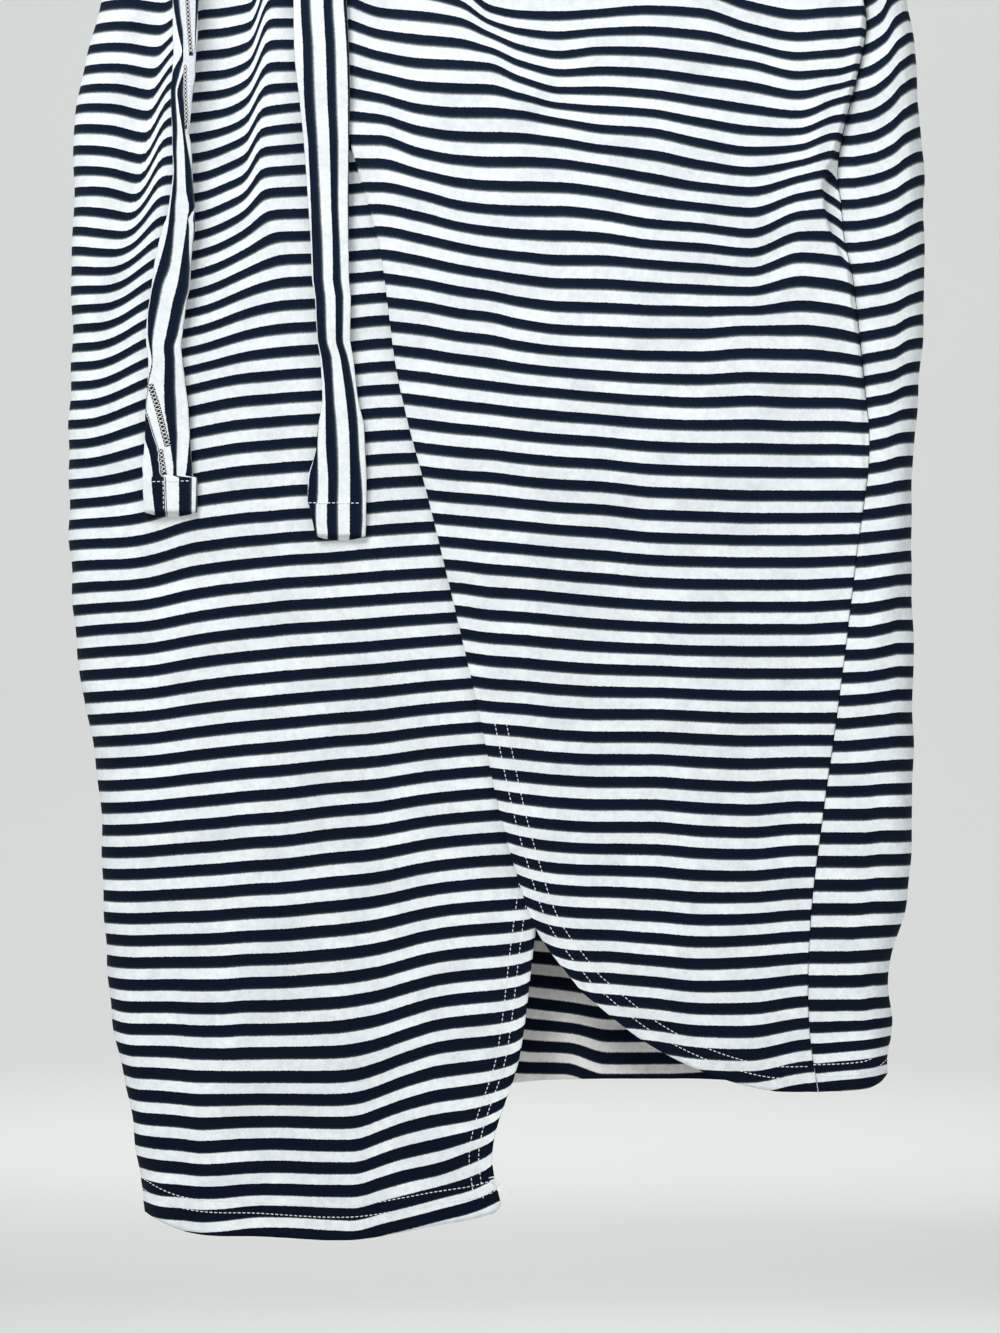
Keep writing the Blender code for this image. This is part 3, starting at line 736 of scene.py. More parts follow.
def on_tube(s, z, out=0.0, fine=True):
    """World points of the tube at arcs s and heights z, moved out along its normal."""
    s, z = np.broadcast_arrays(np.asarray(s, float), np.asarray(z, float))
    front = front_length(z)
    behind = (s < 0) | (s > front)
    turned = np.where(s < 0, -s, np.where(s > front, 2 * front - s, s))
    near, far, x = round_the_folds(turned, z)
    normal_x = np.sin(far) - np.cos(near)
    normal_y = 1 - np.sin(near) - np.cos(far)
    y = tube(z)[2] * normal_y
    side = np.where(behind, -1, 1)
    relief = np.where(
        behind,
        fold_relief(x, z, BACK_FOLDS),
        fold_relief(x, z, FRONT_FOLDS) + fold_relief(x, z, BODICE_FOLDS) + (soft_relief(x, z) if fine else 0),
    )
    out = out + relief * np.clip(np.abs(normal_y), 0, 1) ** 2 + (ripples(s, z) if fine else 0)
    return np.stack([x + out * normal_x, side * (y + out * normal_y), z], -1)


def seam_roll(s, z):
    """The over panel's rise towards its rolled edge by the right seam, steep on the far side."""
    edge, height, reach = np.moveaxis(held_through(SEAM_ROLL, z * 1000), -1, 0) / 1000
    away = arc_of(edge, z) - s
    rolled = height * steep_on_one_side(away, reach, ROLL_STEEP)
    sunk = seam_sink(z) * smooth_step(-away, *SEAM_SINK_ACROSS)
    return rolled * smooth_step(s[:, -1:] - s, 0, ROLL_END) + sunk


def seam_sink(z):
    return SEAM_SINK * smooth_step(z, *SEAM_SINK_HEIGHTS)


def over_lift(s, z):
    to_end = arc_of(LIFT_ENDS_X, z) - s
    return LIFT * smooth_step(to_end, 0, LIFT_FADES) * smooth_step(-z, -STRAP_Z, -LIFT_FULL_Z)


def patch(left, right, top, bottom):
    v = np.linspace(0, 1, len(left))[:, None, None]
    u = np.linspace(0, 1, len(top))[None, :, None]
    corners = (
        (1 - u) * (1 - v) * top[0] + u * (1 - v) * top[-1] + (1 - u) * v * bottom[0] + u * v * bottom[-1]
    )
    return (1 - u) * left[:, None] + u * right[:, None] + (1 - v) * top + v * bottom - corners


def edge_on_front(rows, count):
    points = path_through(rows, count)
    return np.stack([arc_of(*points.T), points[:, 1]], 1)


def around(edge):
    return edge + np.stack([2 * front_length(edge[:, 1]), np.zeros(len(edge))], 1)


def columns(edge, count, close_at=()):
    """count points along an edge in (s, z), closer together round a side fold and at the given arcs."""
    fine = evenly(edge, 800)
    front = front_length(fine[:, 1])
    to_fold = np.min([np.abs(fine[:, 0] - k * front) for k in (0, 1, 2)], axis=0)
    weight = 1 + FOLD_DENSITY * np.exp(-((to_fold / FOLD_REACH) ** 4))
    for start, end, times in close_at:
        inside = (fine[:, 0] > start) & (fine[:, 0] < end)
        weight = np.where(inside, np.maximum(weight, times), weight)
    steps = np.linalg.norm(np.diff(fine, axis=0), axis=1)
    reach = np.r_[0, np.cumsum(steps * (weight[1:] + weight[:-1]) / 2)]
    even = np.linspace(0, reach[-1], count)
    return np.stack([np.interp(even, reach, column) for column in fine.T], 1)


def panel(left, right, count, bottom=None, close_at=()):
    top = np.array((left[0], right[0]))
    bottom = np.array((left[-1], right[-1])) if bottom is None else bottom
    area = patch(left, right, columns(top, count, close_at), columns(bottom, count, close_at))
    return area[..., 0], area[..., 1]


# Stripes


def stripe_number(rows, stations, x, depth):
    """The stripe's number at each point, from a table of how far down the stripes lie at stations across."""
    table = np.array(rows, float)
    number, heights = table[:, 0], table[:, 1:] / 1000
    x = np.clip(x, stations[..., 0], stations[..., -1])
    at = (x[..., None] > stations[..., 1:-1]).sum(-1)[..., None]
    widths = np.diff(stations)[..., None, :]
    slopes = np.diff(heights) / widths
    meet = even_slopes(slopes, slopes.ndim - 1)

    def taken(values, index):
        index = np.broadcast_to(index[..., None, :], (*values.shape[:-1], 1))
        return np.take_along_axis(values, index, -1)[..., 0]

    every = np.broadcast_to(heights, (*x.shape, *heights.shape))
    width = taken(widths, at)
    u = (x[..., None] - np.take_along_axis(stations, at, -1)) / width
    height = between(taken(every, at), taken(every, at + 1), taken(meet, at), taken(meet, at + 1), width, u)
    depth = depth[..., None]
    share = np.clip((depth - height[..., :-1]) / np.diff(height), 0, 1)
    found = number[0] + (share * np.diff(number)).sum(-1)
    beyond = np.minimum(depth - height[..., :1], 0) + np.maximum(depth - height[..., -1:], 0)
    return found + beyond[..., 0] / PITCH


def front_x(s, z):
    """x of a point on the front, kept at the fold where the point lies behind it."""
    return round_the_folds(np.clip(s, 0, front_length(z)), z)[2]


def rise_at_edge(rows, z, away):
    """How far stripes ride up at a free edge, a given way from it."""
    rise, reach = np.moveaxis(straight_through(rows, z * 1000), -1, 0) / 1000
    return rise * np.exp(-away / reach)


def everywhere(stations, z):
    """The same stations, given in mm, at each height."""
    return np.broadcast_to(np.array(stations) / 1000, (*z.shape, len(stations)))


def under_stripes(s, z):
    x = front_x(s, z)
    a, a_left, a_right = np.moveaxis(curve_through(CREASE_A, z * 1000), -1, 0) / 1000
    b, b_left, b_right = np.moveaxis(curve_through(CREASE_B, z * 1000), -1, 0) / 1000
    fold = tube(z)[0]
    fixed = [np.full(z.shape, value / 1000) for value in UNDER_STATIONS]
    at_a = (a - a_left, a + a_right)
    at_b = (b - b_left, b + b_right)
    stations = np.stack([fold, (fold + a - a_left) / 2, *at_a, *fixed[:2], *at_b, *fixed[2:]], -1)
    depth = WAIST_Z - z + rise_at_edge(UNDER_EDGE_RISE, z, np.abs(s[:, -1:] - s))
    wide = STRIPE_EASE_TOP + (STRIPE_EASE_LOW - STRIPE_EASE_TOP) * smooth_step(-z, *EASE_LOW_DEPTHS)
    wide = wide + (STRIPE_EASE_HEM - STRIPE_EASE_LOW) * smooth_step(-z, *EASE_HEM_DEPTHS)
    return sum(
        share * stripe_number(UNDER_STRIPES, stations, x + wide * aside / 1000, depth)
        for aside, share in STRIPE_EASE
    )


def over_stripes(s, z):
    x = front_x(s, z)
    edge = held_through(SEAM_ROLL, z * 1000)[..., 0] / 1000
    tucked = np.clip(x - edge, 0, None) * comes_and_goes(z, TUCK_FOOT, TUCK_HEAD)
    stations = everywhere(OVER_STATIONS, z)
    depth = WAIST_Z - z + rise_at_edge(OVER_EDGE_RISE, z, np.abs(s - s[:, :1])) - TUCK_SLOPE * tucked
    return stripe_number(OVER_STRIPES, stations, x, depth)


def back_stripes(s, z):
    right = tube(z)[1]
    front = front_length(z)
    ahead = front_x(s, z) - right
    behind = right - front_x(2 * front - s, z)
    stations = everywhere(BACK_STATIONS, z)
    return stripe_number(BACK_STRIPES, stations, np.where(s > front, behind, ahead), WAIST_Z - z)


def plain_stripes(s, z):
    """Stripes above the waist, straight but for a slow sag."""
    sag = 0.004 * np.cos(math.pi * s / 0.45) + 0.003 * np.sin(math.tau * s / 0.31 + z * 9)
    return (WAIST_Z - z + sag) / PITCH


# Meshes


def add_uv(mesh, values):
    """A map of two values for each vertex: metres across, and the stripe's number."""
    layer = mesh.uv_layers.new(name="cloth")
    loops = np.empty(len(mesh.loops), dtype=np.int32)
    mesh.loops.foreach_get("vertex_index", loops)
    layer.data.foreach_set("uv", values[loops].astype(np.float32).ravel())


def mesh_from(name, points, faces, uv=None):
    mesh = bpy.data.meshes.new(name)
    mesh.from_pydata(points.tolist(), [], faces)
    if uv is not None:
        add_uv(mesh, uv)
    mesh.shade_smooth()
    obj = bpy.data.objects.new(name, mesh)
    bpy.context.scene.collection.objects.link(obj)
    return obj


def grid_faces(rows, count, closed=False):
    faces = []
    for i in range(rows - 1):
        for j in range(count if closed else count - 1):
            a, b = i * count + j, i * count + (j + 1) % count
            faces.append((a, a + count, b + count, b))
    return faces


def shell(name, points, uv, wall, closed=False):
    """A sheet through a grid of points, with its wall laid inward and its wrong side in its own material."""
    rows, count = points.shape[:2]
    obj = mesh_from(name, points.reshape(-1, 3), grid_faces(rows, count, closed), uv.reshape(-1, 2))
    for finish in ("jersey_face", "jersey_reverse"):
        obj.data.materials.append(bpy.data.materials[finish])
    solid = obj.modifiers.new("wall", "SOLIDIFY")
    solid.thickness = wall
    solid.offset = -1
    solid.material_offset = 1
    return obj


def cloth_piece(name, node, s, z, number, out=0.0):
    """A panel at arcs and heights, its stripes numbered by a function, in the place of a solid."""
    points = on_tube(s, z, out)
    obj = shell(name, points, np.stack([s, number(s, z)], -1), SHELL)
    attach(obj, "root")
    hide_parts(node)
    return obj


def stitch_mesh(paths, normals, radius=None):
    """Points and faces of short threads, each a bead along its run."""
    sides, radius = THREAD_SIDES, radius or THREAD
    angle = np.arange(sides) / sides * math.tau
    points, faces = [], []
    for (start, end), normal in zip(paths, normals):
        run = end - start
        length = np.linalg.norm(run)
        if length < 1e-6:
            continue
        run = run / length
        side = np.cross(run, normal)
        base = len(points)
        for share, width in THREAD_PROFILE:
            middle = (start + end) / 2 + run * length * share
            for a in angle:
                points.append(middle + radius * width * (side * math.cos(a) + normal * math.sin(a)))
        for i in range(len(THREAD_PROFILE) - 1):
            for j in range(sides):
                k = (j + 1) % sides
                a = base + i * sides
                faces.append((a + j, a + k, a + sides + k, a + sides + j))
        faces.append(tuple(base + j for j in reversed(range(sides))))
        last = base + (len(THREAD_PROFILE) - 1) * sides
        faces.append(tuple(last + j for j in range(sides)))
    return points, faces


def sewing(name, rows):
    """Stitches along rows. A row is its points on the cloth and the cloth's outward normals."""
    starts = []
    for line, normals in rows:
        reach = reach_along(line)
        count = int(reach[-1] / STITCH_STEP)
        for k in range(count):
            ends = []
            for at in (k * STITCH_STEP, k * STITCH_STEP + STITCH):
                ends.append(np.array([np.interp(at, reach, column) for column in line.T]))
            normal = np.array([np.interp(k * STITCH_STEP, reach, column) for column in normals.T])
            starts.append((tuple(ends), normal / np.linalg.norm(normal)))
    points, faces = stitch_mesh([p for p, _ in starts], [n for _, n in starts])
    obj = mesh_from(name, np.array(points), faces)
    obj.data.materials.append(bpy.data.materials["thread"])
    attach(obj, "root")
    return obj


def row_on_tube(edge, shift_s=0.0, shift_z=0.0, lift=None, out=THREAD):
    """A row of stitches at an edge in (s, z), moved by some way across and up."""
    line = evenly(edge + (shift_s, shift_z), 400)
    s, z = line.T
    rise = out + (0 if lift is None else lift(s, z))
    points = on_tube(s, z, rise)
    return points, on_tube(s, z, rise + 0.01, fine=False) - on_tube(s, z, rise, fine=False)


def inset(edge, way):
    """An edge in (s, z) moved to its left by some way, seen along its run."""
    return edge + sideways(edge) * way


def twin(first, gap=TWIN_GAP):
    """Where a hem's two rows of stitches lie."""
    return first, first + gap


def hem_relief(s, z, edge, gap=TWIN_GAP):
    """What the doubled cloth along an edge in (s, z) stands proud, with its stitch rows pulled in."""
    line = evenly(edge, 500)
    length = np.linalg.norm(np.diff(line, axis=0), axis=1).sum()
    way = np.full(s.shape, 1.0)
    along = np.zeros(s.shape)
    for k, (at_s, at_z) in enumerate(line):
        apart = np.hypot(s - at_s, z - at_z)
        nearer = apart < way
        way = np.where(nearer, apart, way)
        along = np.where(nearer, k / 499 * length, along)
    total = HEM_RAISE * (1 - smooth_step(way, HEM + HEM_FADES[0], HEM + HEM_FADES[1]))
    for row in twin(ROWS_FROM_EDGE, gap):
        total -= STITCH_SINK * np.exp(-(((way - row) / STITCH_SINK_WIDTH) ** 2))
    waves = np.sin(math.tau * along / PUCKER_LENGTH + 2.1 * np.sin(along * 61))
    return total + PUCKER * waves * np.exp(-((way / HEM) ** 2))


# The dress


def seams():
    right = edge_on_front(RIGHT_SEAM, UNDER_GRID[1])
    z = np.linspace(WAIST_Z, LEFT_SEAM_END, UNDER_GRID[1])
    left = np.stack([np.full(len(z), -LEFT_SEAM_TURN), z], 1)
    return left, right


def skirt():
    gap = (SEAM / 2, 0)
    left_seam, right_seam = seams()
    over_free = edge_on_front(OVER_EDGE, OVER_GRID[1])
    seam = evenly(right_seam - gap, OVER_GRID[1])
    over_hem = edge_on_front(OVER_HEM, EDGE_POINTS)
    over_hem[-1] = seam[-1]
    close_at = ((seam[:, 0].min() - OVER_CLOSE_WAY, 1, OVER_CLOSE),)
    s, z = panel(over_free, seam, OVER_GRID[0], over_hem, close_at)
    over_round = np.vstack([over_free, over_hem[1:]])

    def over_rise(s, z):
        return over_lift(s, z) + hem_relief(s, z, over_round)

    rise = over_rise(s, z) + seam_roll(s, z)
    over = cloth_piece("over_panel", "skirt_front_over", s, z, over_stripes, rise)

    under_free = edge_on_front(UNDER_EDGE, UNDER_GRID[1])
    under_hem = np.vstack([left_seam[-1:] + gap, edge_on_front(UNDER_HEM, EDGE_POINTS)])
    s, z = panel(left_seam + gap, under_free, UNDER_GRID[0], under_hem, UNDER_CLOSE)
    under_round = np.vstack([under_hem, under_free[under_free[:, 1] < UNDER_TURNED_FROM][::-1]])

    def under_rise(s, z):
        return hem_relief(s, z, under_round, UNDER_TWIN_GAP)

    under = cloth_piece("under_panel", "skirt_front_under", s, z, under_stripes, under_rise(s, z))

    start = evenly(right_seam + gap, BACK_GRID[1])
    end = evenly(around(left_seam - gap), BACK_GRID[1])
    back_hem = path_through(BACK_HEM, EDGE_POINTS)
    back_hem = np.stack([back_arc_of(*back_hem.T), back_hem[:, 1]], 1)
    corner = edge_on_front(CORNER_HEM, 16)
    hem = np.vstack([start[-1:], corner[1:], back_hem, end[-1:]])
    s, z = panel(start, end, BACK_GRID[0], hem)
    sink = hem_relief(s, z, hem) + seam_sink(z) * np.exp(-(s - s[:, :1]) / SEAM_SINK_REACH)
    back = cloth_piece("back_panel", "skirt_back", s, z, back_stripes, sink)

    def back_rise(s, z):
        return hem_relief(s, z, hem)

    shown = np.vstack([over_free[over_free[:, 1] < OVER_ROWS_FROM], over_hem[1:]])
    rows = [row_on_tube(inset(shown, way), lift=over_rise) for way in twin(ROWS_FROM_EDGE)]
    for part in (np.vstack([start[-1:], corner[1:], back_hem[:2]]), np.vstack([back_hem[1:], end[-1:]])):
        rows += [row_on_tube(part, shift_z=up, lift=back_rise) for up in twin(BACK_ROWS_UP)]
    low_hem = evenly(under_hem, 200)
    low_hem[:, 1] -= UNDER_ROWS_DROP * np.linspace(0, 1, 200) ** 3
    rows += [row_on_tube(low_hem, shift_z=up, lift=under_rise) for up in twin(UNDER_ROWS_UP)]
    low = under_free[under_free[:, 1] < UNDER_ROWS_FROM]
    low[:, 0] = np.minimum.accumulate(low[:, 0])
    for way in twin(ROWS_FROM_EDGE, UNDER_TWIN_GAP):
        rows.append(row_on_tube(low, shift_s=-way, lift=under_rise))
    sewing("hem_stitches", rows)
    for k, places in enumerate(LOOSE_THREADS):
        x, z = np.array(places, float).T / 1000
        points = on_tube(arc_of(x, z), z, LOOSE_OUT)
        rod(f"loose_thread_{k}", evenly(points, 40), THREAD, "thread")
    return over, under, back


def bodice():
    gap = (SEAM / 2, 0)
    flip = (-1, 1)
    rows = BODICE_OVER_GRID[1]
    side = np.linspace(UNDERARM_Z, WAIST_Z + SEAM, rows // 2)
    left_side = np.stack([np.full(len(side), -LEFT_SEAM_TURN), side], 1)
    right_side = np.stack([front_length(side) - RIGHT_SEAM_TURN, side], 1)
    neckline = np.array(NECKLINE[::-1], float)
    armhole = np.array(ARMHOLE[::-1], float)

    def outer(edge, seam):
        curve = np.vstack([edge_on_front(edge, EDGE_POINTS)[:-1], seam[:1]])
        return np.vstack([evenly(curve, rows - len(seam) + 1)[:-1], seam])

    over_outer = outer(armhole, right_side - gap)
    over_inner = edge_on_front(neckline, rows)
    over_inner[-1, 1] = WAIST_Z + SEAM
    s, z = panel(over_inner, over_outer, BODICE_OVER_GRID[0])
    over = cloth_piece("bodice_over_piece", "bodice_front_over", s, z, plain_stripes, over_lift(s, z))

    under_outer = outer(armhole * flip, left_side + gap)
    under_inner = edge_on_front(neckline * flip, rows)
    under_inner[-1, 1] = WAIST_Z + SEAM
    s, z = panel(under_outer, under_inner, BODICE_UNDER_GRID[0])
    under = cloth_piece("bodice_under_piece", "bodice_front_under", s, z, plain_stripes)

    start = evenly(right_side + gap, BODICE_BACK_GRID[1])
    end = evenly(around(left_side - gap), BODICE_BACK_GRID[1])
    s, z = panel(start, end, BODICE_BACK_GRID[0])
    back = cloth_piece("bodice_rear_piece", "bodice_back", s, z, plain_stripes)

    sewn = [row_on_tube(over_inner, shift_s=way, lift=over_lift) for way in twin(BODICE_ROWS_IN)]
    arm = over_outer[: rows - len(side)]
    sewn += [row_on_tube(arm, shift_s=-way, lift=over_lift) for way in twin(BODICE_ROWS_IN)]
    arm = under_outer[: rows - len(side)]
    sewn += [row_on_tube(arm, shift_s=way) for way in twin(BODICE_ROWS_IN)]
    top = np.array((start[0], end[0]))
    sewn += [row_on_tube(top, shift_z=-way) for way in twin(BODICE_ROWS_IN)]
    sewing("bodice_stitches", sewn)
    return over, under, back


def arm_top(x):
    return ARM_TOP - ARM_DROP * (x / ARM_REACH) ** 2


def strap_point(x, way):
    radius = STRAP_INNER + WALL
    turn = math.pi / 2 * radius
    angle = np.clip(way / radius, -math.pi / 2, math.pi / 2)
    hang = np.clip(np.abs(way) - turn, 0, None)
    z = arm_top(x) - ARM_RADIUS + radius * np.cos(angle) - hang
    return np.stack([x, radius * np.sin(angle), z], -1)


def neck_strap():
    half = path_through(STRAP_LINE, 90)
    line = np.vstack([half[::-1] * (-1, 1), half[1:]])
    side = sideways(line)
    across = np.linspace(-0.5, 0.5, 25)[None, :, None] * STRAP_WIDTH
    flat = line[:, None] + side[:, None] * across
    points = strap_point(flat[..., 0], flat[..., 1])
    for end in (0, -1):
        points[end, :, 2] = STRAP_Z + SEAM
    reach = reach_along(line)
    uv = np.stack(np.broadcast_arrays(reach[:, None], across[..., 0] / PITCH + 0.2), -1)
    obj = shell("halter_strap", points, uv, SHELL)
    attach(obj, "root")
    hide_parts("neck_strap")
    return obj


def tie(name, node, bands, top, depths):
    """A flattened tube of jersey with an open foot. A table gives its edges and its lengthwise stripes."""
    bands = np.array(bands, float)
    first = bands[0]
    across = (first[1:] - first[1]) / (first[-1] - first[1])
    head = [[z, *(left + across * (right - left))] for z, left, right in top]
    bands = np.vstack([head, bands])
    z = np.unique(np.r_[np.linspace(bands[0, 0], bands[-1, 0], TIE_ROWS), bands[:, 0]])[::-1]
    edges = held_through(bands, z) / 1000
    thick, gap = np.moveaxis(held_through(depths, z), -1, 0) / 1000
    z = z / 1000
    left, right = edges[:, :1], edges[:, -1:]
    reach = left + (right - left) * np.linspace(0, 1, TIE_FEELERS)
    tall = np.broadcast_to(z[:, None], reach.shape)
    cloth_y = on_tube(arc_of(reach, tall), tall, fine=False)[..., 1].min(1)
    lifted = cloth_y - gap - thick / 2
    angle = np.arange(TIE_SIDES) / TIE_SIDES * math.tau
    round_x = -np.cos(angle)
    round_y = -np.sign(np.sin(angle)) * (1 - round_x**TIE_BOXY) ** (1 / TIE_BOXY)
    x = (left + right) / 2 + (right - left) / 2 * round_x
    y = lifted[:, None] + thick[:, None] / 2 * round_y
    points = np.stack([x, y, np.broadcast_to(z[:, None], x.shape)], -1)
    points[-1, :, 2] -= TIE_BACK_LONGER * (round_y > 0.5) * (1 - round_x**2)
    number = np.empty(x.shape)
    for i, row in enumerate(edges):
        marks = np.maximum.accumulate(row[1:-1] + np.arange(len(BAND_NUMBERS)) * 1e-7)
        before = np.minimum(x[i] - marks[0], 0) / PITCH
        after = np.maximum(x[i] - marks[-1], 0) / PITCH
        number[i] = np.interp(x[i], marks, BAND_NUMBERS) + before + after
    uv = np.stack(np.broadcast_arrays(z[:, None], number), -1)
    obj = shell(name, points, uv, TIE_WALL, closed=True)
    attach(obj, "root")
    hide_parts(node)

    def front(at_x, at_z, out=0.0):
        """A point just off the tie's front."""
        start, end, deep, middle = (
            np.interp(-at_z, -z, side) for side in (left[:, 0], right[:, 0], thick, lifted)
        )
        share = np.clip(np.abs((at_x - (start + end) / 2) / ((end - start) / 2)), 0, 0.98)
        return np.stack([at_x, middle - deep / 2 * (1 - share**TIE_BOXY) ** (1 / TIE_BOXY) - out, at_z], -1)

    return obj, front


def row_on_tie(front, places):
    """A row of stitches through places in mm on a tie, with the normals of its front."""
    x, z = evenly(np.array(places, float) / 1000, 60).T
    points = front(x, z, THREAD)
    return points, np.broadcast_to((0.0, -1.0, 0.0), points.shape)


def looped_stitching(front, name, places, width):
    """A dark slit with white threads crossed over it, and its length laid through places in mm."""
    line = evenly(np.array(places, float) / 1000, 80)
    side = sideways(line) * width / 2
    flat = line[:, None] + side[:, None] * np.linspace(-SLIT_SHARE, SLIT_SHARE, 3)[None, :, None]
    slit = front(flat[..., 0], flat[..., 1], SLIT_OUT)
    slit = mesh_from(name + "_slit", slit.reshape(-1, 3), grid_faces(*slit.shape[:2]))
    slit.data.materials.append(bpy.data.materials["slit"])
    reach = reach_along(line)
    pairs = []
    for k in range(int(reach[-1] / LOOP_PITCH)):
        for way in (-1, 1):
            ends = []
            for at, across in ((k * LOOP_PITCH, -way), ((k + 1) * LOOP_PITCH, way)):
                place = [np.interp(at, reach, column) for column in (line + side * across).T]
                ends.append(front(*place, LOOP_OUT))
            pairs.append(tuple(ends))
    points, faces = stitch_mesh(pairs, [np.array((0.0, -1.0, 0.0))] * len(pairs), LOOP_THREAD)
    loops = mesh_from(name + "_loops", np.array(points), faces)
    loops.data.materials.append(bpy.data.materials["thread"])
    for obj in (slit, loops):
        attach(obj, "root")


def tie_sewing(left_front, right_front):
    rows, count = REVERSE_GRID
    top, foot = TIE_REVERSE_TOP[0][0], TIE_REVERSE_TOP[-1][0]
    strip = held_through(TIE_REVERSE_TOP, np.linspace(top, foot, rows)) / 1000
    z = np.linspace(top / 1000, foot / 1000, rows)[:, None]
    x = strip[:, :1] + (strip[:, 1:2] - strip[:, :1]) * np.linspace(0, 1, count)
    points = left_front(x, np.broadcast_to(z, x.shape), REVERSE_OUT)
    reverse = mesh_from("tie_reverse", points.reshape(-1, 3), grid_faces(*x.shape))
    reverse.data.materials.append(bpy.data.materials["reverse"])
    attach(reverse, "root")
    for name, places, wide in (
        ("upper", LOOPS_UPPER, 1),
        ("point", LOOPS_POINT, 0.8),
        ("middle", LOOPS_MIDDLE, 1.6),
        ("lower", LOOPS_LOWER, 1.2),
    ):
        looped_stitching(left_front, name, places, LOOP_WIDTH * wide)
    rows = [row_on_tie(left_front, places) for places in TIE_LEFT_STITCHES]
    rows += [row_on_tie(right_front, places) for places in TIE_RIGHT_STITCHES]
    stitches = sewing("tie_stitches", rows)


def rod(name, points, radius, finish, node=None):
    """A round rod or thread along points, in the place of a solid where one is named."""
    curve = bpy.data.curves.new(name, "CURVE")
    curve.dimensions = "3D"
    curve.bevel_depth = radius
    curve.bevel_resolution = 8 if node else 2
    curve.use_fill_caps = True
    spline = curve.splines.new("POLY")
    spline.points.add(len(points) - 1)
    for point, place in zip(spline.points, points):
        point.co = (*place, 1)
    obj = bpy.data.objects.new(name, curve)
    curve.materials.append(bpy.data.materials[finish])
    bpy.context.scene.collection.objects.link(obj)
    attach(obj, "root")
    if node:
        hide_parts(node)


def hanger():
    x = np.linspace(-ARM_REACH, ARM_REACH, 121)
    arms = np.stack([x, 0 * x, arm_top(x) - ARM_RADIUS], 1)
    rod("arms", arms, ARM_RADIUS, "plastic", "hanger_arms")
    angle = np.radians(np.linspace(HOOK_FROM, HOOK_TO, 90))
    loop = np.stack([HOOK_RADIUS * np.cos(angle), HOOK_CENTRE + HOOK_RADIUS * np.sin(angle)], 1)
    points = path_through(np.vstack([HOOK_STEM, loop * 1000]), 160)
    points = np.stack([points[:, 0], 0 * points[:, 0], points[:, 1]], 1)
    rod("hook", points, WIRE, "wire", "hanger_hook")


# Materials


class Nodes:
    """A short way to build a material's node tree."""

    def __init__(self, name):
        self.material = bpy.data.materials.new(name)
        self.material.use_nodes = True
        self.tree = self.material.node_tree
        self.shader = self.tree.nodes["Principled BSDF"]

    def add(self, kind, settings=(), **inputs):
        node = self.tree.nodes.new(kind)
        for key, value in dict(settings).items():
            setattr(node, key, value)
        for key, value in inputs.items():
            socket = node.inputs[int(key[1:])] if key[0] == "i" and key[1:].isdigit() else node.inputs[key]
            if isinstance(value, bpy.types.NodeSocket):
                self.tree.links.new(value, socket)
            else:
                socket.default_value = value
        return node

    def math(self, operation, *values):
        inputs = {f"i{k}": value for k, value in enumerate(values)}
        return self.add("ShaderNodeMath", {"operation": operation}, **inputs).outputs[0]

    def sum(self, first, second):
        return self.math("ADD", first, second)

    def times(self, first, second):
        return self.math("MULTIPLY", first, second)

    def less(self, first, second):
        return self.math("SUBTRACT", first, second)

    def ribs(self, value, width):
        """Rounded ribs of a given width along a value."""
        return self.math("ABSOLUTE", self.math("SINE", self.times(value, math.pi / width)))

    def looks(self, **values):
        """Sets the shader's sockets, or links them; underscores stand for spaces."""
        for key, value in values.items():
            socket = self.shader.inputs[key.replace("_", " ")]
            if isinstance(value, bpy.types.NodeSocket):
                self.tree.links.new(value, socket)
            else:
                socket.default_value = value

    def ramp(self, value, stops):
        node = self.add("ShaderNodeValToRGB", i0=value)
        elements = node.color_ramp.elements
        while len(elements) < len(stops):
            elements.new(0.5)
        for element, (place, colour) in zip(elements, stops):
            element.position = place
            element.color = (*colour, 1)
        return node.outputs[0]

    def mix(self, share, first, second, blend="MIX"):
        node = self.add("ShaderNodeMix", {"data_type": "RGBA", "blend_type": blend})
        for socket, value in ((0, share), (6, first), (7, second)):
            if isinstance(value, bpy.types.NodeSocket):
                self.tree.links.new(value, node.inputs[socket])
            else:
                node.inputs[socket].default_value = value if socket == 0 else (*value, 1)
        return node.outputs[2]


WHITE_YARN = (0.842, 0.882, 0.90)
WHITE_REVERSE = (0.87, 0.865, 0.845)
NAVY_YARN = (0.0055, 0.0125, 0.030)
NAVY_TOP = (0.003, 0.0045, 0.009)
LOW_FROM, LOW_TO = -0.65, -1.3  # from one height to the other
LOW_PAINTED_SHADE = 0.2  # painted shade: the colours darken towards the hem, where less light falls
LOW_WIDER = 0.13  # and the navy a little wider
NAVY_FOOT = (0.0195, 0.035, 0.045)
GREY_FOOT = (0.20, 0.23, 0.25)
# Where the navy starts and ends, then how softly the face's and the reverse's stripes end, in stripes
NAVY_FROM, NAVY_TO = 0.27, 0.727
CRISP = 0.012
SOFT = 0.050
WALE = 0.0009  # width of a column of knit stitches
COURSE = 0.075  # height of a row of them, in stripes


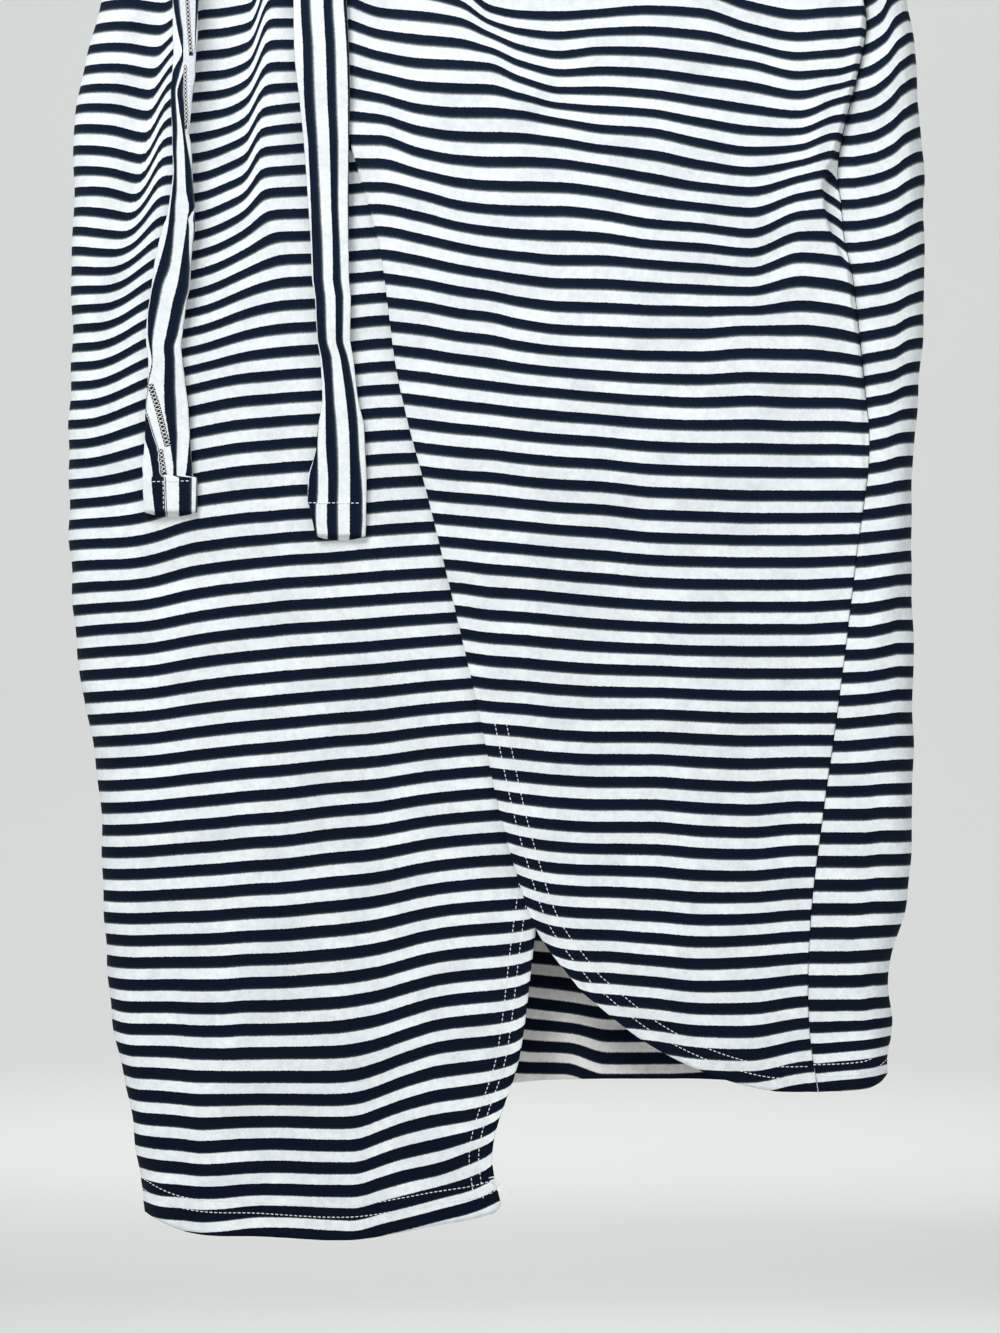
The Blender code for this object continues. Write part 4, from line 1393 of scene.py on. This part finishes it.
def jersey(name, white, soft):
    """Striped single jersey: navy rows knitted into white ones, a fine rib, a little fuzz, painted shade low
    down.
    """
    n = Nodes(name)
    uv = n.add("ShaderNodeUVMap", {"uv_map": "cloth"}).outputs[0]
    apart = n.add("ShaderNodeSeparateXYZ", Vector=uv)
    across, number = apart.outputs[0], apart.outputs[1]
    place = n.add("ShaderNodeTexCoord").outputs["Object"]

    fuzz = n.add("ShaderNodeTexNoise", Vector=place, Scale=900.0, Detail=3.0).outputs[0]
    drift = n.add("ShaderNodeTexNoise", Vector=place, Scale=60.0, Detail=2.0).outputs[0]
    wobble = n.sum(n.times(n.less(fuzz, 0.5), 0.055), n.times(n.less(drift, 0.5), 0.03))
    share = n.math("FRACT", n.sum(n.sum(number, 0.5), wobble))
    low = n.add("ShaderNodeMapRange", Value=n.add("ShaderNodeSeparateXYZ", Vector=place).outputs[2])
    low.inputs["From Min"].default_value = LOW_FROM
    low.inputs["From Max"].default_value = LOW_TO
    low = low.outputs[0]
    narrow = n.less(1.0, n.times(low, LOW_WIDER))
    share = n.sum(0.5, n.times(n.less(share, 0.5), narrow))
    edge = (NAVY_FROM - soft[0], white), (NAVY_FROM, NAVY_TOP), (NAVY_FROM + 0.05, NAVY_YARN)
    upper = (
        *edge,
        (0.56, NAVY_YARN),
        (0.66, NAVY_FOOT),
        (NAVY_TO - 0.01, GREY_FOOT),
        (NAVY_TO + soft[1], white),
    )
    lower = (
        *edge,
        (NAVY_TO - 0.06, NAVY_YARN),
        (NAVY_TO - 0.012, NAVY_FOOT),
        (NAVY_TO + 0.012, GREY_FOOT),
        (NAVY_TO + soft[1] * 0.6, white),
    )
    stripe = n.mix(low, n.ramp(share, upper), n.ramp(share, lower))
    mottle = n.add("ShaderNodeTexNoise", Vector=place, Scale=260.0, Detail=4.0, Roughness=0.7).outputs[0]
    clouds = n.add("ShaderNodeTexNoise", Vector=place, Scale=34.0, Detail=4.0, Distortion=0.6).outputs[0]
    shade = n.ramp(mottle, ((0.3, (0.87, 0.87, 0.885)), (0.62, (1, 1, 1))))
    shade = n.mix(1.0, shade, n.ramp(clouds, ((0.36, (0.92, 0.92, 0.93)), (0.58, (1, 1, 1)))), "MULTIPLY")
    colour = n.mix(1.0, stripe, shade, "MULTIPLY")
    # Painted shade: a gamma darkens the colours towards the hem, where less light falls
    painted_low_shade = n.sum(1.0, n.times(low, LOW_PAINTED_SHADE))
    colour = n.add("ShaderNodeGamma", Color=colour, Gamma=painted_low_shade).outputs[0]

    wales, courses = n.ribs(across, WALE), n.ribs(number, COURSE)
    knit = n.sum(n.times(wales, 0.6), n.times(courses, 0.4))
    height = n.sum(knit, n.times(fuzz, 0.8))
    bump = n.add("ShaderNodeBump", Strength=0.35, Distance=0.0004, Height=height).outputs[0]
    n.looks(Base_Color=colour, Normal=bump, Roughness=0.92)
    n.looks(Specular_IOR_Level=0.08, Sheen_Weight=0.015, Sheen_Roughness=0.5)
    return n.material


def plain(name, colour, roughness, metallic=0.0, grain=300.0, depth=0.15, coat=0.0, tone=0.1):
    n = Nodes(name)
    place = n.add("ShaderNodeTexCoord").outputs["Object"]
    noise = n.add("ShaderNodeTexNoise", Vector=place, Scale=grain, Detail=4.0).outputs[0]
    dark = tuple(c * (1 - tone) for c in colour)
    colours = n.ramp(noise, ((0.35, dark), (0.6, colour)))
    bump = n.add("ShaderNodeBump", Strength=depth, Distance=0.0002, Height=noise).outputs[0]
    n.looks(Base_Color=colours, Normal=bump, Roughness=roughness, Metallic=metallic, Coat_Weight=coat)
    return n.material


def materials():
    jersey("jersey_face", WHITE_YARN, (CRISP, SOFT))
    jersey("jersey_reverse", WHITE_REVERSE, (SOFT, SOFT))
    plain("thread", (0.86, 0.86, 0.86), 0.7, grain=1500.0)
    plain("slit", (0.010, 0.013, 0.022), 0.95)
    plain("reverse", (0.70, 0.74, 0.79), 0.95, grain=900.0, depth=0.4, tone=0.2)
    plain("plastic", (0.80, 0.78, 0.74), 0.38, grain=500.0, depth=0.08, coat=0.2)
    plain("wire", (0.72, 0.72, 0.74), 0.22, metallic=1.0, grain=700.0, depth=0.05)
    plain("floor", (0.80, 0.815, 0.80), 0.95, grain=0.6, depth=0.0, tone=0.02)


# The stage


def stage():
    """A pale floor that turns up into a rim all round, far from the dress."""
    turn = np.linspace(0, math.pi / 2, 24)
    radii = np.r_[0.01, np.linspace(0.5, FLOOR_RADIUS, 12), FLOOR_RADIUS + RIM_RADIUS * np.sin(turn[1:])]
    heights = np.r_[np.zeros(13), RIM_RADIUS * (1 - np.cos(turn[1:]))]
    radii, heights = np.r_[radii, radii[-1]], np.r_[heights, heights[-1] + RIM_WALL]
    angle = np.arange(FLOOR_SIDES) / FLOOR_SIDES * math.tau
    x, y = radii[:, None] * np.cos(angle), radii[:, None] * np.sin(angle)
    points = np.stack(np.broadcast_arrays(x, y, FLOOR_Z + heights[:, None]), -1)
    floor = mesh_from("floor", points.reshape(-1, 3), grid_faces(*x.shape, closed=True))
    floor.data.materials.append(bpy.data.materials["floor"])


def lights():
    world = bpy.data.worlds.new("studio")
    world.use_nodes = True
    sky = world.node_tree.nodes["Background"].inputs
    sky["Color"].default_value = (0.96, 0.98, 1, 1)
    sky["Strength"].default_value = 0.36
    bpy.context.scene.world = world
    bpy.context.scene.view_settings.view_transform = "Standard"
    # Lamps: where each stands, where it's aimed, its width and its watts
    for name, place, aim, size, power in (
        ("key", (-0.85, -1.6, 0.85), (0, 0, -0.85), 0.9, 54),
        ("fill", (1.8, -2.0, -0.7), (0, 0, -1.0), 1.6, 9),
        ("rear", (0.6, 2.4, 0.4), (0, 0, -0.8), 1.5, 30),
        ("back_rim", (0, 3.9, 1.2), (0, 8.3, -0.4), 3, 70),
        ("front_rim", (0, -3.9, 1.2), (0, -8.3, -0.4), 3, 45),
        ("left_rim", (-3.9, 0, 1.2), (-8.3, 0, -0.4), 3, 45),
        ("right_rim", (3.9, 0, 1.2), (8.3, 0, -0.4), 3, 45),
        ("floor", (0, 3.0, 2.8), (0, 3.4, -1.7), 3, 40),
    ):
        lamp = bpy.data.lights.new(name, "AREA")
        lamp.size = size
        lamp.energy = power
        obj = bpy.data.objects.new(name, lamp)
        bpy.context.scene.collection.objects.link(obj)
        aimed(obj, place, aim)


def aimed(obj, place, aim):
    obj.location = place
    obj.rotation_euler = (Vector(aim) - Vector(place)).to_track_quat("-Z", "Y").to_euler()


def camera():
    lens = bpy.data.cameras.new("camera")
    lens.lens = LENS
    lens.sensor_width = SENSOR
    obj = bpy.data.objects.new("camera", lens)
    bpy.context.scene.collection.objects.link(obj)
    aimed(obj, (0, FRONT_Y - CAMERA_BACK, CAMERA_Z), (0, FRONT_Y, CAMERA_Z))
    bpy.context.scene.camera = obj


def build():
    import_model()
    materials()
    camera()
    skirt_pieces = skirt()
    bodice_pieces = bodice()
    strap = neck_strap()
    left, left_front = tie("left_tie", "tie_left", TIE_LEFT_BANDS, TIE_LEFT_TOP, TIE_LEFT_DEPTH)
    right, right_front = tie("right_tie", "tie_right", TIE_RIGHT_BANDS, TIE_RIGHT_TOP, TIE_RIGHT_DEPTH)
    tie_sewing(left_front, right_front)
    hanger()
    stage()
    lights()


build()
